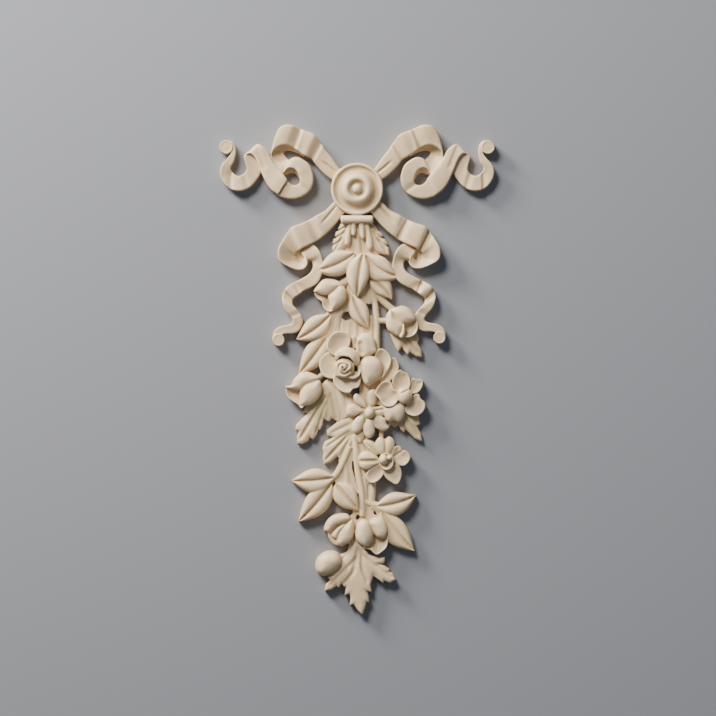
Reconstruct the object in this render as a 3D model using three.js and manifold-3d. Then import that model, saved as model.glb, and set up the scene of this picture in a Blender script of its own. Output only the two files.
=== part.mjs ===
// Polyurethane onlay: a ribbon bow round a rosette, with a drop of leaves, buds and flowers below it.
// The whole ornament is one casting with a flat back. Millimetres, +Z up, the back in the plane y = 0,
// the carved face towards -Y and the origin at the rosette's centre on the back.
import * as THREE from "three";
import { mergeVertices } from "three/addons/utils/BufferGeometryUtils.js";
import Module from "manifold-3d";

const wasm = await Module();
wasm.setup();

// Overall sizes.
const BOW_WIDTH = 229;
const DROP_LENGTH = 354;

// Heights of the carving above the flat back.
const BACKING_HEIGHT = 4.5;
const STEM_HEIGHT = 7;
const LEAF_HEIGHT = 9;
const PETAL_HEIGHT = 12;
const BUD_HEIGHT = 14;
const BERRY_HEIGHT = 15;
const ROSE_HEIGHT = 19;
const RIBBON_HEIGHT = 10;

// Details of the carving.
const RIBBON_FALL = 1.6;
const RIBBON_BELLY = 0.6;
const LEAF_CROWN = 1.9;
const LEAF_EDGE_FALL = 2.2;
const PETAL_CUP = 2.6;
const PETAL_RIM_FALL = 1.1;
const STEM_WIDTH = 5;
const BERRY_WIDTH = 21;
const PLEAT_DEPTH = 1.6;

// The rosette and the tie bar under it.
const ROSETTE_RADIUS = 21.7;
const ROSETTE_HEIGHT = 17;
const ROSETTE_RIM_WIDTH = 2.6;
const ROSETTE_BEAD_RADIUS = 4.4;
const BAR_LENGTH = 27;
const BAR_WIDTH = 6.4;
const BAR_HEIGHT = 14;

// The ribbons' rolled ends.
const TOP_ROLL_RADIUS = 6.2;
const LOW_ROLL_RADIUS = 5.3;

// The layout below is drawn for a bow 229 wide and a drop 354 long from the rosette's centre.
const across = BOW_WIDTH / 229;
const along = DROP_LENGTH / 354;
const place = ([x, z]) => [x * across, z * along];

// Widths drawn across a leaf, petal or stem follow the mean of the two.
const girth = Math.sqrt(across * along);

// Facets smaller than this are merged into their neighbours.
const FACET_TOLERANCE = 0.51;

// Shared makers

function solidFrom(vertices, triangles) {
  const geometry = new THREE.BufferGeometry();
  geometry.setAttribute("position", new THREE.Float32BufferAttribute(vertices, 3));
  geometry.setIndex(triangles);
  return solidOf(geometry);
}

function solidOf(geometry) {
  const bare = geometry.clone();
  bare.deleteAttribute("normal");
  bare.deleteAttribute("uv");
  const merged = mergeVertices(bare, 1e-4);
  const triVerts = new Uint32Array(merged.index.array);
  const made = new wasm.Manifold(
    new wasm.Mesh({ numProp: 3, vertProperties: merged.attributes.position.array, triVerts }),
  );
  if (made.volume() > 0) {
    return made;
  }
  for (let i = 0; i < triVerts.length; i += 3) {
    const first = triVerts[i];
    triVerts[i] = triVerts[i + 1];
    triVerts[i + 1] = first;
  }
  return new wasm.Manifold(
    new wasm.Mesh({ numProp: 3, vertProperties: merged.attributes.position.array, triVerts }),
  );
}

// A solid from rows of [x, z, height] points: the rows are its carved face, and its sides drop
// straight to the flat back.
function underRows(rows) {
  const n = rows.length;
  const m = rows[0].length;
  const vertices = [];
  for (const row of rows) {
    for (const [x, z, height] of row) {
      vertices.push(x, -height, z);
    }
  }
  for (const row of rows) {
    for (const [x, z] of row) {
      vertices.push(x, 0, z);
    }
  }
  const face = (i, j) => i * m + j;
  const back = (i, j) => n * m + i * m + j;
  const triangles = [];
  const quad = (a, b, c, d) => triangles.push(a, b, c, a, c, d);
  for (let i = 0; i < n - 1; i++) {
    for (let j = 0; j < m - 1; j++) {
      quad(face(i, j), face(i + 1, j), face(i + 1, j + 1), face(i, j + 1));
      quad(back(i, j), back(i, j + 1), back(i + 1, j + 1), back(i + 1, j));
    }
    quad(face(i, 0), back(i, 0), back(i + 1, 0), face(i + 1, 0));
    quad(face(i + 1, m - 1), back(i + 1, m - 1), back(i, m - 1), face(i, m - 1));
  }
  for (let j = 0; j < m - 1; j++) {
    quad(face(0, j + 1), back(0, j + 1), back(0, j), face(0, j));
    quad(face(n - 1, j), back(n - 1, j), back(n - 1, j + 1), face(n - 1, j + 1));
  }
  return solidFrom(vertices, triangles);
}

const smoothCurve = (points) =>
  new THREE.CatmullRomCurve3(points.map((p) => new THREE.Vector3(...p)), false, "centripetal");

// A ribbon strip between two edges. A station is [outer x, outer z, inner x, inner z, outer
// height, inner height], with the heights as shares of RIBBON_HEIGHT.
function strip(stations, side = 1, stretch = 1, lift = 1) {
  const point = (x, z, share) => {
    const [px, pz] = place([side * stretch * x, lift * z]);
    return [px, pz, share * RIBBON_HEIGHT];
  };
  const outer = smoothCurve(stations.map((s) => point(s[0], s[1], s[4])));
  const inner = smoothCurve(stations.map((s) => point(s[2], s[3], s[5])));
  const count = Math.round((stations.length - 1) * 1.1);
  const lanes = [0, 0.16, 0.84, 1];
  const rows = [];
  for (let i = 0; i <= count; i++) {
    const a = outer.getPoint(i / count);
    const b = inner.getPoint(i / count);
    rows.push(
      lanes.map((v) => {
        const height = a.z + (b.z - a.z) * v + RIBBON_BELLY * (1 - (2 * v - 1) ** 2);
        const fall = v === 0 || v === 1 ? RIBBON_FALL : 0;
        return [a.x + (b.x - a.x) * v, a.y + (b.y - a.y) * v, height - fall];
      }),
    );
  }
  return underRows(rows);
}

// Half-width of a blade at t from base to tip, as a share of its widest: pointed, or rounded off.
function bladeShare(t, belly, round) {
  const pointed = Math.sin(Math.PI * t ** (Math.log(0.5) / Math.log(belly))) ** 0.9;
  const rising = Math.sin((Math.PI / 2) * Math.min(1, 0.12 + (0.88 * t) / belly)) ** 0.8;
  const falling = Math.sqrt(Math.max(0, 1 - (Math.max(0, t - belly) / (1 - belly)) ** 2));
  return (1 - round) * pointed + round * Math.min(rising, falling);
}

// The carved face of a blade: a leaf has a groove down its middle, a petal is cupped or domed.
const faces = {
  leaf: (t, v, s) => s.crown * (1 - (2 * Math.abs(v) - 1) ** 2) - LEAF_EDGE_FALL * Math.abs(v) ** 4,
  lobe: (t, v, s) => -s.crown * v * v - LEAF_EDGE_FALL * 0.5 * Math.abs(v) ** 6,
  cup: (t, v, s) => {
    const r = Math.min(1, Math.hypot(v, Math.max(0, (t - 0.5) * 2)));
    return PETAL_CUP * (r * r - 1) - (r > 0.9 ? PETAL_RIM_FALL : 0);
  },
  dome: (t, v, s) => {
    const r = Math.min(1, Math.hypot(v, (t - 0.5) * 1.9));
    return s.high * 0.45 * (Math.sqrt(1 - 0.96 * r * r) - 1);
  },
};

// A leaf, lobe or petal: its midrib runs from base to tip, with a half-width on its left and right.
function blade(s) {
  const from = place(s.from);
  const to = place(s.to);
  const dx = to[0] - from[0];
  const dz = to[1] - from[1];
  const length = Math.hypot(dx, dz);
  const nx = -dz / length;
  const nz = dx / length;
  const bend = (s.bend ?? 0) * girth;
  const belly = s.belly ?? 0.45;
  const round = s.round ?? 0;
  const crown = s.crown ?? LEAF_CROWN;
  const count = s.rows ?? 6;
  const lanes = s.face === "lobe" ? [-1, -0.4, 0.4, 1] : [-1, -0.55, 0, 0.55, 1];
  const rows = [];
  for (let i = 0; i <= count; i++) {
    const t = 1 - (1 - i / count) ** (1 + 0.8 * round);
    const swing = bend * 4 * t * (1 - t);
    const slope = (bend * 4 * (1 - 2 * t)) / length;
    const share = bladeShare(t, belly, round);
    const rise = s.base + (1 - s.base) * Math.sin((Math.PI / 2) * Math.min(1, t / 0.45));
    const drop = t > 0.55 ? (1 - s.tip) * ((t - 0.55) / 0.45) ** 2 : 0;
    rows.push(
      lanes.map((v) => {
        const half = Math.max(0.25, share * girth * (v > 0 ? s.left : s.right));
        const side = v * half;
        const x = from[0] + dx * t + nx * (swing + side) - (dx / length) * side * slope;
        const z = from[1] + dz * t + nz * (swing + side) - (dz / length) * side * slope;
        const height = s.high * (rise - drop) + faces[s.face](t, v, { ...s, crown });
        return [x, z, Math.max(1.2, height)];
      }),
    );
  }
  return underRows(rows);
}

const leaf = (from, to, left, right, bend = 0, share = 1, belly = 0.45) =>
  blade({ from, to, left, right, bend, belly, high: LEAF_HEIGHT * share, face: "leaf", base: 0.8, tip: 0.62 });

const lobe = (from, to, width, share = 1, round = 0.35) =>
  blade({
    from,
    to,
    left: width / 2,
    right: width / 2,
    belly: 0.55,
    round,
    crown: 1.5,
    high: LEAF_HEIGHT * share,
    face: "lobe",
    base: 0.9,
    tip: 0.7,
    rows: 4,
  });

const petal = (from, to, left, right, share = 1, face = "cup", bend = 0) =>
  blade({
    from,
    to,
    left,
    right,
    bend,
    belly: 0.6,
    round: 1,
    high: PETAL_HEIGHT * share,
    face,
    base: 0.8,
    tip: face === "dome" ? 0.8 : 0.95,
    rows: 4,
  });

// A domed boss: rings of points from its edge to its top.
function boss(centre, rx, rz, high, edge, turn = 0, spokes = 14, rings = 3) {
  const [cx, cz] = place(centre);
  const vertices = [];
  const triangles = [];
  const ring = (r, height) => {
    for (let k = 0; k < spokes; k++) {
      const angle = (2 * Math.PI * k) / spokes;
      const x = r * rx * Math.cos(angle);
      const z = r * rz * Math.sin(angle);
      const c = Math.cos(turn);
      const s = Math.sin(turn);
      vertices.push(cx + x * c - z * s, -height, cz + x * s + z * c);
    }
  };
  ring(1, 0);
  for (let i = 0; i < rings; i++) {
    const angle = ((Math.PI / 2) * i) / rings;
    ring(Math.cos(angle), edge + (high - edge) * Math.sin(angle));
  }
  vertices.push(cx, -high, cz, cx, 0, cz);
  const top = vertices.length / 3 - 2;
  for (let k = 0; k < spokes; k++) {
    const next = (k + 1) % spokes;
    for (let i = 0; i < rings; i++) {
      const a = i * spokes;
      const b = (i + 1) * spokes;
      triangles.push(a + k, a + next, b + next, a + k, b + next, b + k);
    }
    triangles.push(rings * spokes + k, rings * spokes + next, top);
    triangles.push(next, k, top + 1);
  }
  return solidFrom(vertices, triangles);
}

// A half-round stem along a smooth line of points. Its widths are shares of STEM_WIDTH.
function stem(points, wide = 1, share = 1, wideEnd = wide) {
  const curve = smoothCurve(points.map((p) => [...place(p), 0]));
  const count = (points.length - 1) * 3;
  const lanes = [-1, -0.4, 0.4, 1];
  const high = STEM_HEIGHT * share;
  const rows = [];
  for (let i = 0; i <= count; i++) {
    const t = i / count;
    const at = curve.getPoint(t);
    const way = curve.getTangent(t);
    const half = ((wide + (wideEnd - wide) * t) * STEM_WIDTH) / 2;
    rows.push(
      lanes.map((v) => [
        at.x - way.y * half * v,
        at.y + way.x * half * v,
        Math.max(1.2, high - half * 0.75 * (1 - Math.sqrt(1 - 0.95 * v * v))),
      ]),
    );
  }
  return underRows(rows);
}

// An upright prism over the flat back, from an outline of [x, z] points.
function prism(outline, high, start = 0) {
  const shape = new THREE.Shape(outline.map((p) => new THREE.Vector2(...place(p))));
  const made = new THREE.ExtrudeGeometry(shape, { depth: high, bevelEnabled: false });
  made.rotateX(Math.PI / 2);
  made.translate(0, -start, 0);
  return solidOf(made);
}

// A low backing plate between the stems, with its open spaces.
const backing = (outline, holes = []) =>
  holes.reduce(
    (plate, hole) => plate.subtract(prism(hole, BACKING_HEIGHT + 2, -1)),
    prism(outline, BACKING_HEIGHT),
  );

// The rosette and its bar

function rosette() {
  const r = ROSETTE_RADIUS;
  const h = ROSETTE_HEIGHT;
  const rim = ROSETTE_RIM_WIDTH;
  const bead = ROSETTE_BEAD_RADIUS;
  const profile = [
    [0, 0],
    [r, 0],
    [r, 0.58 * h],
    [r - 0.3 * rim, 0.7 * h],
    [r - 0.75 * rim, 0.7 * h],
    [r - 1.35 * rim, 0.58 * h],
    [0.66 * r, 0.8 * h],
    [0.5 * r, 0.96 * h],
    [0.38 * r, h],
    [0.3 * r, 0.8 * h],
    [bead * 1.05, 0.76 * h],
    [bead * 0.7, 0.94 * h],
    [0, 1.02 * h],
  ];
  const turned = new THREE.LatheGeometry(profile.map((p) => new THREE.Vector2(...p)), 26);
  turned.rotateX(Math.PI);
  return solidOf(turned);
}

function tieBar() {
  const z = -(ROSETTE_RADIUS + BAR_WIDTH * 0.56);
  const half = BAR_LENGTH / 2;
  const rows = [];
  const ends = [-1, -0.97, -0.9, 0.9, 0.97, 1];
  for (const e of ends) {
    const close = Math.abs(e) === 1 ? 0.55 : Math.abs(e) > 0.95 ? 0.85 : 1;
    rows.push(
      [-1, -0.8, -0.4, 0, 0.4, 0.8, 1].map((v) => [
        e * half,
        z + (v * close * BAR_WIDTH) / 2,
        BAR_HEIGHT - (BAR_WIDTH / 2) * (1 - Math.sqrt(1 - 0.9 * v * v)) - (1 - close) * 3,
      ]),
    );
  }
  return underRows(rows);
}

// The low neck that carries the bar from under the rosette.
function neck() {
  const half = 0.33 * BAR_LENGTH;
  const low = -(ROSETTE_RADIUS + 1.45 * BAR_WIDTH);
  const rows = [-0.4 * ROSETTE_RADIUS, low].map((z) => [
    [-half, z, BACKING_HEIGHT],
    [half, z, BACKING_HEIGHT],
  ]);
  return underRows(rows);
}

// The bow

const TOP_LOOP = [
  [-9, 12, -14, 4, 0.8, 0.8],
  [-14.5, 17, -21, 8, 0.85, 0.85],
  [-20, 25, -27, 12.5, 0.9, 0.85],
  [-26, 32.5, -34, 20, 0.88, 0.82],
  [-31, 40, -38, 25, 1.0, 0.9],
  [-36, 45.5, -42, 27, 1.22, 1.1],
  [-44, 48.7, -47, 29.5, 1.05, 0.95],
  [-49, 51, -50, 31, 1.05, 0.9],
  [-54, 53, -54.5, 32, 1.3, 0.95],
  [-60, 53, -60, 32.3, 1.25, 0.7],
  [-65, 50, -66, 33, 1.05, 0.62],
  [-69, 41, -70.5, 32, 0.8, 0.6],
];
const TOP_UNDER = [
  [-62, 35, -71, 33, 0.5, 0.55],
  [-60, 29, -71.5, 27, 0.5, 0.6],
  [-57, 25.5, -70.5, 20.5, 0.65, 0.75],
  [-53, 25, -64, 14, 0.8, 0.85],
  [-50, 22, -58, 12.5, 0.85, 0.9],
];
const TOP_CURL = [
  [-55, 25.5, -58.5, 15.5, 1.0, 1.0],
  [-50, 26.5, -56, 14, 1.1, 1.05],
  [-45, 24.5, -52, 13.5, 1.15, 1.05],
  [-40, 20.5, -49.5, 11, 1.15, 1.05],
  [-37, 14, -48, 8, 1.1, 1.0],
  [-36.5, 6, -48, 5, 1.05, 0.95],
  [-39.5, -1, -50, 3.5, 0.95, 0.9],
  [-46, -6, -53.5, 3.5, 0.9, 0.85],
  [-55, -8, -56, 5, 0.9, 0.85],
  [-64, -6, -58, 7.5, 0.85, 0.8],
  [-69, -2.5, -59, 9, 0.8, 0.75],
];
const TOP_BAND = [
  [-58, 8, -66, -4.5, 1.0, 1.0],
  [-61, 12, -71, -1, 1.1, 1.05],
  [-66, 17.5, -76, 6, 1.05, 1.0],
  [-71, 24.5, -80.5, 14, 1.0, 1.0],
  [-74, 31, -87, 21, 1.0, 1.0],
  [-79, 36, -92, 26.5, 1.1, 1.05],
  [-83, 37.8, -94, 29, 0.95, 0.9],
];
const TOP_TAIL = [
  [-79, 19, -93, 28, 0.55, 0.5],
  [-80, 14, -93, 22, 0.65, 0.6],
  [-84, 7, -92, 17, 0.75, 0.75],
  [-90, 1, -94, 13, 0.85, 0.85],
  [-98, -1.5, -98.5, 11, 0.9, 0.85],
  [-106, 0.5, -102, 12.5, 0.85, 0.8],
  [-112, 7, -105, 16.5, 0.8, 0.8],
  [-114, 14, -104.8, 19, 0.9, 0.85],
  [-112.5, 20, -103, 21.5, 0.95, 0.9],
  [-108, 25.2, -101.5, 26, 0.95, 0.9],
  [-105, 29.5, -100.8, 31, 0.9, 0.9],
  [-103.5, 33, -101.8, 36, 0.9, 0.9],
];
const LOW_LOOP = [
  [-12, -8, -8, -16, 0.8, 0.8],
  [-19.5, -11, -13.5, -23.5, 0.85, 0.85],
  [-26, -17.5, -20, -31.5, 0.9, 0.9],
  [-34, -22, -28, -39, 1.05, 0.95],
  [-38, -24.5, -32, -42, 0.92, 0.85],
  [-46, -28.5, -38, -45.5, 1.1, 1.0],
  [-54, -31.5, -46, -49.5, 1.2, 1.05],
  [-57, -34.5, -49, -51.5, 1.0, 0.9],
  [-61, -41, -51.5, -54.5, 1.15, 0.95],
  [-65.5, -50, -53, -58, 1.15, 0.8],
  [-65, -59, -51.5, -61, 0.95, 0.65],
  [-58, -64, -49.5, -62, 0.85, 0.6],
  [-50, -67, -47.5, -61, 0.8, 0.6],
  [-44, -66, -45.5, -59, 0.75, 0.6],
  [-41, -61, -43, -56.5, 0.7, 0.6],
];
const LOW_TAIL = [
  [-38, -45.5, -46, -52, 0.6, 0.5],
  [-34.5, -47.5, -43.5, -55.5, 0.85, 0.7],
  [-31, -52, -40, -58.5, 1.0, 0.9],
  [-28.8, -58.5, -37.2, -60, 1.0, 0.95],
  [-28, -65, -36.8, -65, 0.95, 0.9],
  [-29.5, -71.5, -39, -69.5, 0.95, 0.9],
  [-33, -78, -43.5, -73, 1.0, 0.95],
  [-38.5, -81.8, -49, -76, 0.95, 0.95],
  [-44, -84.5, -53, -78, 0.85, 0.85],
  [-49.5, -88.5, -58.5, -81.5, 1.05, 1.05],
  [-53.5, -92.5, -62, -88, 0.85, 0.85],
  [-53.3, -96, -62, -94, 1.0, 1.0],
  [-50.5, -99.5, -60, -100, 1.0, 0.95],
  [-47, -104, -56, -105, 0.95, 0.9],
  [-45, -109.5, -53.5, -109, 0.85, 0.85],
  [-47.5, -116.5, -54.5, -111.5, 0.75, 0.8],
  [-52, -119.7, -58, -113, 0.8, 0.85],
  [-58, -120, -63.5, -114, 0.85, 0.85],
  [-61, -120.5, -69, -118, 0.85, 0.85],
  [-63, -122, -70.5, -124, 0.85, 0.85],
];
const LOW_RIGHT_STRETCH = 1.05;
const LOW_RIGHT_LIFT = 0.985;

// A ribbon's rolled end: a disc with a raised rim round a shallow dish.
function roll(centre, radius) {
  const [cx, cz] = place(centre);
  const h = RIBBON_HEIGHT;
  const profile = [
    [0, 0],
    [radius, 0],
    [radius, 0.72 * h],
    [0.86 * radius, 0.94 * h],
    [0.66 * radius, 0.94 * h],
    [0.5 * radius, 0.82 * h],
    [0, 0.8 * h],
  ];
  const turned = new THREE.LatheGeometry(profile.map((p) => new THREE.Vector2(...p)), 14);
  turned.rotateX(Math.PI);
  turned.translate(cx, 0, cz);
  return solidOf(turned);
}

// The short pleats pressed into the ribbons beside the rosette: a slim lens cut from the face.
const PLEATS = [
  [-16.5, 13, -28, 22.5],
  [-17.5, -14.5, -28.5, -27.5],
];
const PLEAT_LEVEL = 0.93 * RIBBON_HEIGHT;

function pleat([x0, z0, x1, z1], side) {
  const [ax, az] = place([side * x0, z0]);
  const [bx, bz] = place([side * x1, z1]);
  const groove = new THREE.SphereGeometry(1, 10, 8);
  groove.scale(Math.hypot(bx - ax, bz - az) / 2, PLEAT_DEPTH, PLEAT_DEPTH * 0.7);
  groove.rotateY(-Math.atan2(bz - az, bx - ax));
  groove.translate((ax + bx) / 2, -PLEAT_LEVEL, (az + bz) / 2);
  return solidOf(groove);
}

const pleated = (solid, side) => PLEATS.reduce((left, ends) => left.subtract(pleat(ends, side)), solid);

function bow() {
  const solids = [];
  for (const side of [1, -1]) {
    const stretch = side === 1 ? 1 : LOW_RIGHT_STRETCH;
    const lift = side === 1 ? 1 : LOW_RIGHT_LIFT;
    solids.push(pleated(strip(TOP_LOOP, side), side));
    for (const stations of [TOP_UNDER, TOP_CURL, TOP_BAND, TOP_TAIL]) {
      solids.push(strip(stations, side));
    }
    solids.push(pleated(strip(LOW_LOOP, side, stretch, lift), side));
    solids.push(strip(LOW_TAIL, side, stretch, lift));
    solids.push(roll([side * -108.4, 34.8], TOP_ROLL_RADIUS));
    solids.push(roll([side * stretch * -65.8, lift * -125], LOW_ROLL_RADIUS));
  }
  return solids;
}

// The collar and the leaves

const COLLAR_LOBES = [
  [[-3, -26], [-3, -38.5], 4.6, 1.2],
  [[-5, -26], [-7.7, -47.3], 6, 1.15],
  [[-8, -26], [-12.3, -50.7], 7, 1.05],
  [[-9, -26], [-19.5, -52], 8, 0.95],
  [[-8, -27], [-20.5, -46.5], 7, 0.92],
  [[-7, -26], [-19.5, -40.8], 7, 0.92],
  [[-6, -26], [-17.8, -35.8], 6, 0.92],
  [[-5, -25], [-15.8, -31.5], 6, 0.92],
  [[2.5, -26], [4.6, -41.7], 4.8, 1.2],
  [[5, -26], [10.3, -50.6], 6.9, 1.15],
  [[8, -26], [15.5, -52.3], 7, 1.05],
  [[9, -26], [26.6, -54.2], 8.6, 0.95],
  [[9, -27], [26, -47], 7, 0.92],
  [[8, -26], [24.6, -42.3], 7, 0.92],
  [[7, -26], [21.3, -37.5], 7, 0.92],
  [[5, -25], [16.5, -32], 6, 0.92],
];

function collar() {
  const lobes = COLLAR_LOBES.map(([from, to, width, share]) => lobe(from, to, width, share, 0.9));
  return [...lobes, stem([[0, -27], [0.5, -42], [1.5, -58]], 1, 1.2, 3)];
}

const leaves = () => [
  leaf([-2, -53], [-34, -67.5], 10, 10.5, 2.5, 1.1),
  leaf([6, -54], [35.5, -73], 10, 10.5, -3.5, 1.1),
  leaf([5, -53], [0, -90.5], 8.6, 10.4, -1, 1.4),
  leaf([9, -74], [29, -91.5], 8.5, 7.5, 2, 0.9),
  leaf([-4, -88], [10, -116], 8.2, 8, -1.2, 1),
  leaf([-22, -104], [-50.5, -124.8], 9, 9.8, 2.3, 1),
  leaf([-24, -121], [-48.5, -153.5], 10, 9.4, 1, 0.9),
  leaf([-19, -239.5], [-54.3, -242.5], 10.8, 9.5, 1, 0.95),
  leaf([-21, -244], [-48.8, -276.5], 10, 10, 1.5, 0.9),
  leaf([-18, -245], [2, -267.5], 9.2, 10, 0, 1, 0.4),
  leaf([16, -263.5], [48.8, -254.5], 9.2, 10.4, -2, 0.9),
  leaf([20, -268], [47.8, -301], 9.4, 11.4, -1, 0.85),
];

// A cut leaf: a body with lobes of [base, tip, width, height share].
const CUT_LEAVES = [
  [
    [[-22, -158], [-31, -192], 21, 0.75],
    [[-25, -168], [-50.5, -211.5], 13, 0.9],
    [[-27, -172], [-51.7, -198.5], 12, 0.85],
    [[-32, -170], [-45.5, -185.5], 9, 0.7],
    [[-28, -178], [-37.2, -208], 9, 0.85],
    [[-26, -176], [-31, -200], 8, 0.8],
    [[-24, -172], [-23.7, -193.3], 8.5, 0.8],
    [[-22, -168], [-17.5, -192.5], 9, 0.8],
    [[-19, -166], [-12.5, -195.5], 9, 0.8],
  ],
  [
    [[-3, -194], [-19, -221], 15, 0.75],
    [[-4, -191], [-25, -203.7], 9.5, 0.95],
    [[-5, -203], [-28.7, -216.3], 10, 0.85],
    [[-7, -204], [-27, -228.6], 11.5, 0.9],
    [[-7, -205], [-16, -225.5], 7.5, 0.85],
  ],
  [
    [[37, -182], [54, -209.8], 11.5, 0.9],
    [[35, -184], [39.5, -202.6], 8, 0.85],
    [[40, -182], [52.6, -196], 9, 0.8],
    [[27, -186], [26.6, -198.4], 7.5, 0.75],
    [[31, -186], [31.6, -197.8], 7, 0.7],
  ],
  [
    [[30, -112], [45, -134], 19, 0.7],
    [[29, -114], [33.4, -134.8], 10.5, 0.8],
    [[34, -114], [41.6, -137.6], 10, 0.8],
    [[38, -114], [53.8, -139.8], 12.5, 0.85],
    [[40, -113], [52.5, -128], 9, 0.75],
  ],
  [
    [[1, -293], [3.8, -354], 17, 1.05],
    [[1, -312], [-7, -346], 9, 0.85],
    [[3, -312], [9.7, -344], 9, 0.85],
    [[1, -306], [-11, -338], 9.5, 0.85],
    [[3, -308], [12, -335.5], 9, 0.8],
    [[0, -298], [-28, -334.5], 13, 0.9],
    [[-2, -300], [-16, -332], 9, 0.85],
    [[-4, -302], [-26.5, -324], 10, 0.75],
    [[3, -300], [32.4, -325.4], 12.5, 0.9],
    [[4, -303], [21.8, -328.4], 10, 0.85],
    [[4, -300], [27.3, -315.4], 9, 0.8],
    [[3, -298], [22.8, -307.2], 9.5, 0.8],
    [[3, -302], [9.6, -326.4], 9, 0.95],
  ],
];

const cutLeaves = () => CUT_LEAVES.flat().map(([from, to, width, share]) => lobe(from, to, width, share));

// The flowers

// Petals of [angle in degrees, reach, width, height share, face] round a centre.
function petalsRound([cx, cz], petals) {
  return petals.map(([angle, reach, width, share, face]) => {
    const a = (angle * Math.PI) / 180;
    const tip = [cx + reach * Math.cos(a), cz + reach * Math.sin(a)];
    return petal([cx, cz], tip, width / 2, width / 2, share, face);
  });
}

const ROSE = [-9.7, -148];
const ROSE_CORE_RADIUS = 9.8;
const ROSE_TURNS = 1.7;

function rose() {
  const outer = [
    petal([-11, -143], [-19.5, -119], 9.5, 11, 1.05),
    petal([1, -143], [8, -119], 8, 8.5, 1.05),
    petal([-13, -146], [-30.5, -147.5], 9.8, 9.8, 0.85),
    petal([-9, -148], [-8.5, -167.5], 11.5, 11.5, 1),
    petal([10, -150], [26.5, -136], 8.5, 9.5, 0.8),
    petal([18, -150], [32, -141.5], 6.5, 7, 0.7),
    petal([18, -152], [33.6, -149], 6, 5, 0.62),
  ];
  const arch = petal([-9, -147], [-7, -131.5], 9.8, 9.8, 1.3, "dome");
  const cheek = boss([11.8, -149.5], 9.6 * girth, 12.2 * girth, 0.86 * ROSE_HEIGHT, 0.45 * ROSE_HEIGHT);
  const core = boss(ROSE, ROSE_CORE_RADIUS, 0.86 * ROSE_CORE_RADIUS, 0.84 * ROSE_HEIGHT, 0.6 * ROSE_HEIGHT);
  const coil = [];
  for (let i = 0; i <= 14; i++) {
    const t = i / 14;
    const r = ROSE_CORE_RADIUS * (0.86 - 0.68 * t);
    const a = -0.6 - 2 * Math.PI * ROSE_TURNS * t;
    coil.push([ROSE[0] - 1.2 * t + r * Math.cos(a), ROSE[1] + t + 0.86 * r * Math.sin(a)]);
  }
  return [...outer, arch, cheek, core, coilRidge(coil, 2, 0.86 * ROSE_HEIGHT, ROSE_HEIGHT)];
}

// A thin ridge that climbs along its line, for the rolled petals at a rose's heart.
function coilRidge(points, width, from, to) {
  const curve = smoothCurve(points.map((p) => [...place(p), 0]));
  const count = points.length + 4;
  const rows = [];
  for (let i = 0; i <= count; i++) {
    const t = i / count;
    const at = curve.getPoint(t);
    const way = curve.getTangent(t);
    const high = from + (to - from) * t;
    rows.push(
      [-1, 0, 1].map((v) => [
        at.x - (way.y * width * v) / 2,
        at.y + (way.x * width * v) / 2,
        high - (v === 0 ? 0 : 0.9),
      ]),
    );
  }
  return underRows(rows);
}

const BALL_FLOWER = [39, -171];
const DAISY = [10, -186];
const CUP_FLOWER = [24, -225];

function ballFlower() {
  const petals = petalsRound(BALL_FLOWER, [
    [101, 21.5, 16, 0.95, "cup"],
    [43, 20, 14, 0.85, "cup"],
    [-38, 21.5, 16, 0.95, "cup"],
    [241, 25, 19, 1.05, "dome"],
    [178, 24, 18, 1.15, "cup"],
  ]);
  return [...petals, boss(BALL_FLOWER, 6.3 * girth, 6 * girth, 1.3 * PETAL_HEIGHT, 0.9 * PETAL_HEIGHT, 0, 12, 3)];
}

function daisy() {
  const petals = petalsRound(DAISY, [
    [133, 20, 11, 0.9, "cup"],
    [80, 19.5, 11, 0.8, "cup"],
    [172, 18.5, 10, 0.85, "cup"],
    [224, 19, 11, 0.95, "cup"],
    [268, 20, 10, 0.95, "cup"],
    [318, 18.5, 11, 0.95, "cup"],
    [18, 13, 8, 0.75, "cup"],
  ]);
  return [...petals, boss(DAISY, 4.5 * girth, 4.4 * girth, 1.2 * PETAL_HEIGHT, 0.8 * PETAL_HEIGHT, 0, 10, 3)];
}

function cupFlower() {
  const petals = petalsRound(CUP_FLOWER, [
    [80, 20.5, 13, 0.95, "cup"],
    [108, 19.5, 12, 0.95, "cup"],
    [12, 20.5, 14, 0.85, "cup"],
    [38, 16.5, 9, 0.85, "cup"],
    [-67, 21.5, 14, 0.9, "cup"],
    [234, 22.5, 14, 0.9, "cup"],
    [184, 22.5, 15, 1.1, "dome"],
    [137, 26, 13, 0.85, "cup"],
  ]);
  const ball = boss(CUP_FLOWER, 6.4 * girth, 6.2 * girth, 1.25 * PETAL_HEIGHT, 0.9 * PETAL_HEIGHT, 0, 12, 3);
  const [x, z] = place([CUP_FLOWER[0] + 1.5, CUP_FLOWER[1] - 1.8]);
  const hollow = new THREE.SphereGeometry(3.1, 12, 8);
  hollow.translate(x, -1.28 * PETAL_HEIGHT, z);
  return [...petals, ball.subtract(solidOf(hollow))];
}

// The buds, the berry and the stems

const budPetal = (from, to, left, right, share, face = "dome") =>
  blade({
    from,
    to,
    left,
    right,
    belly: 0.52,
    round: 0.8,
    high: BUD_HEIGHT * share,
    face,
    base: 0.85,
    tip: 0.85,
    rows: 4,
  });

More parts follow.
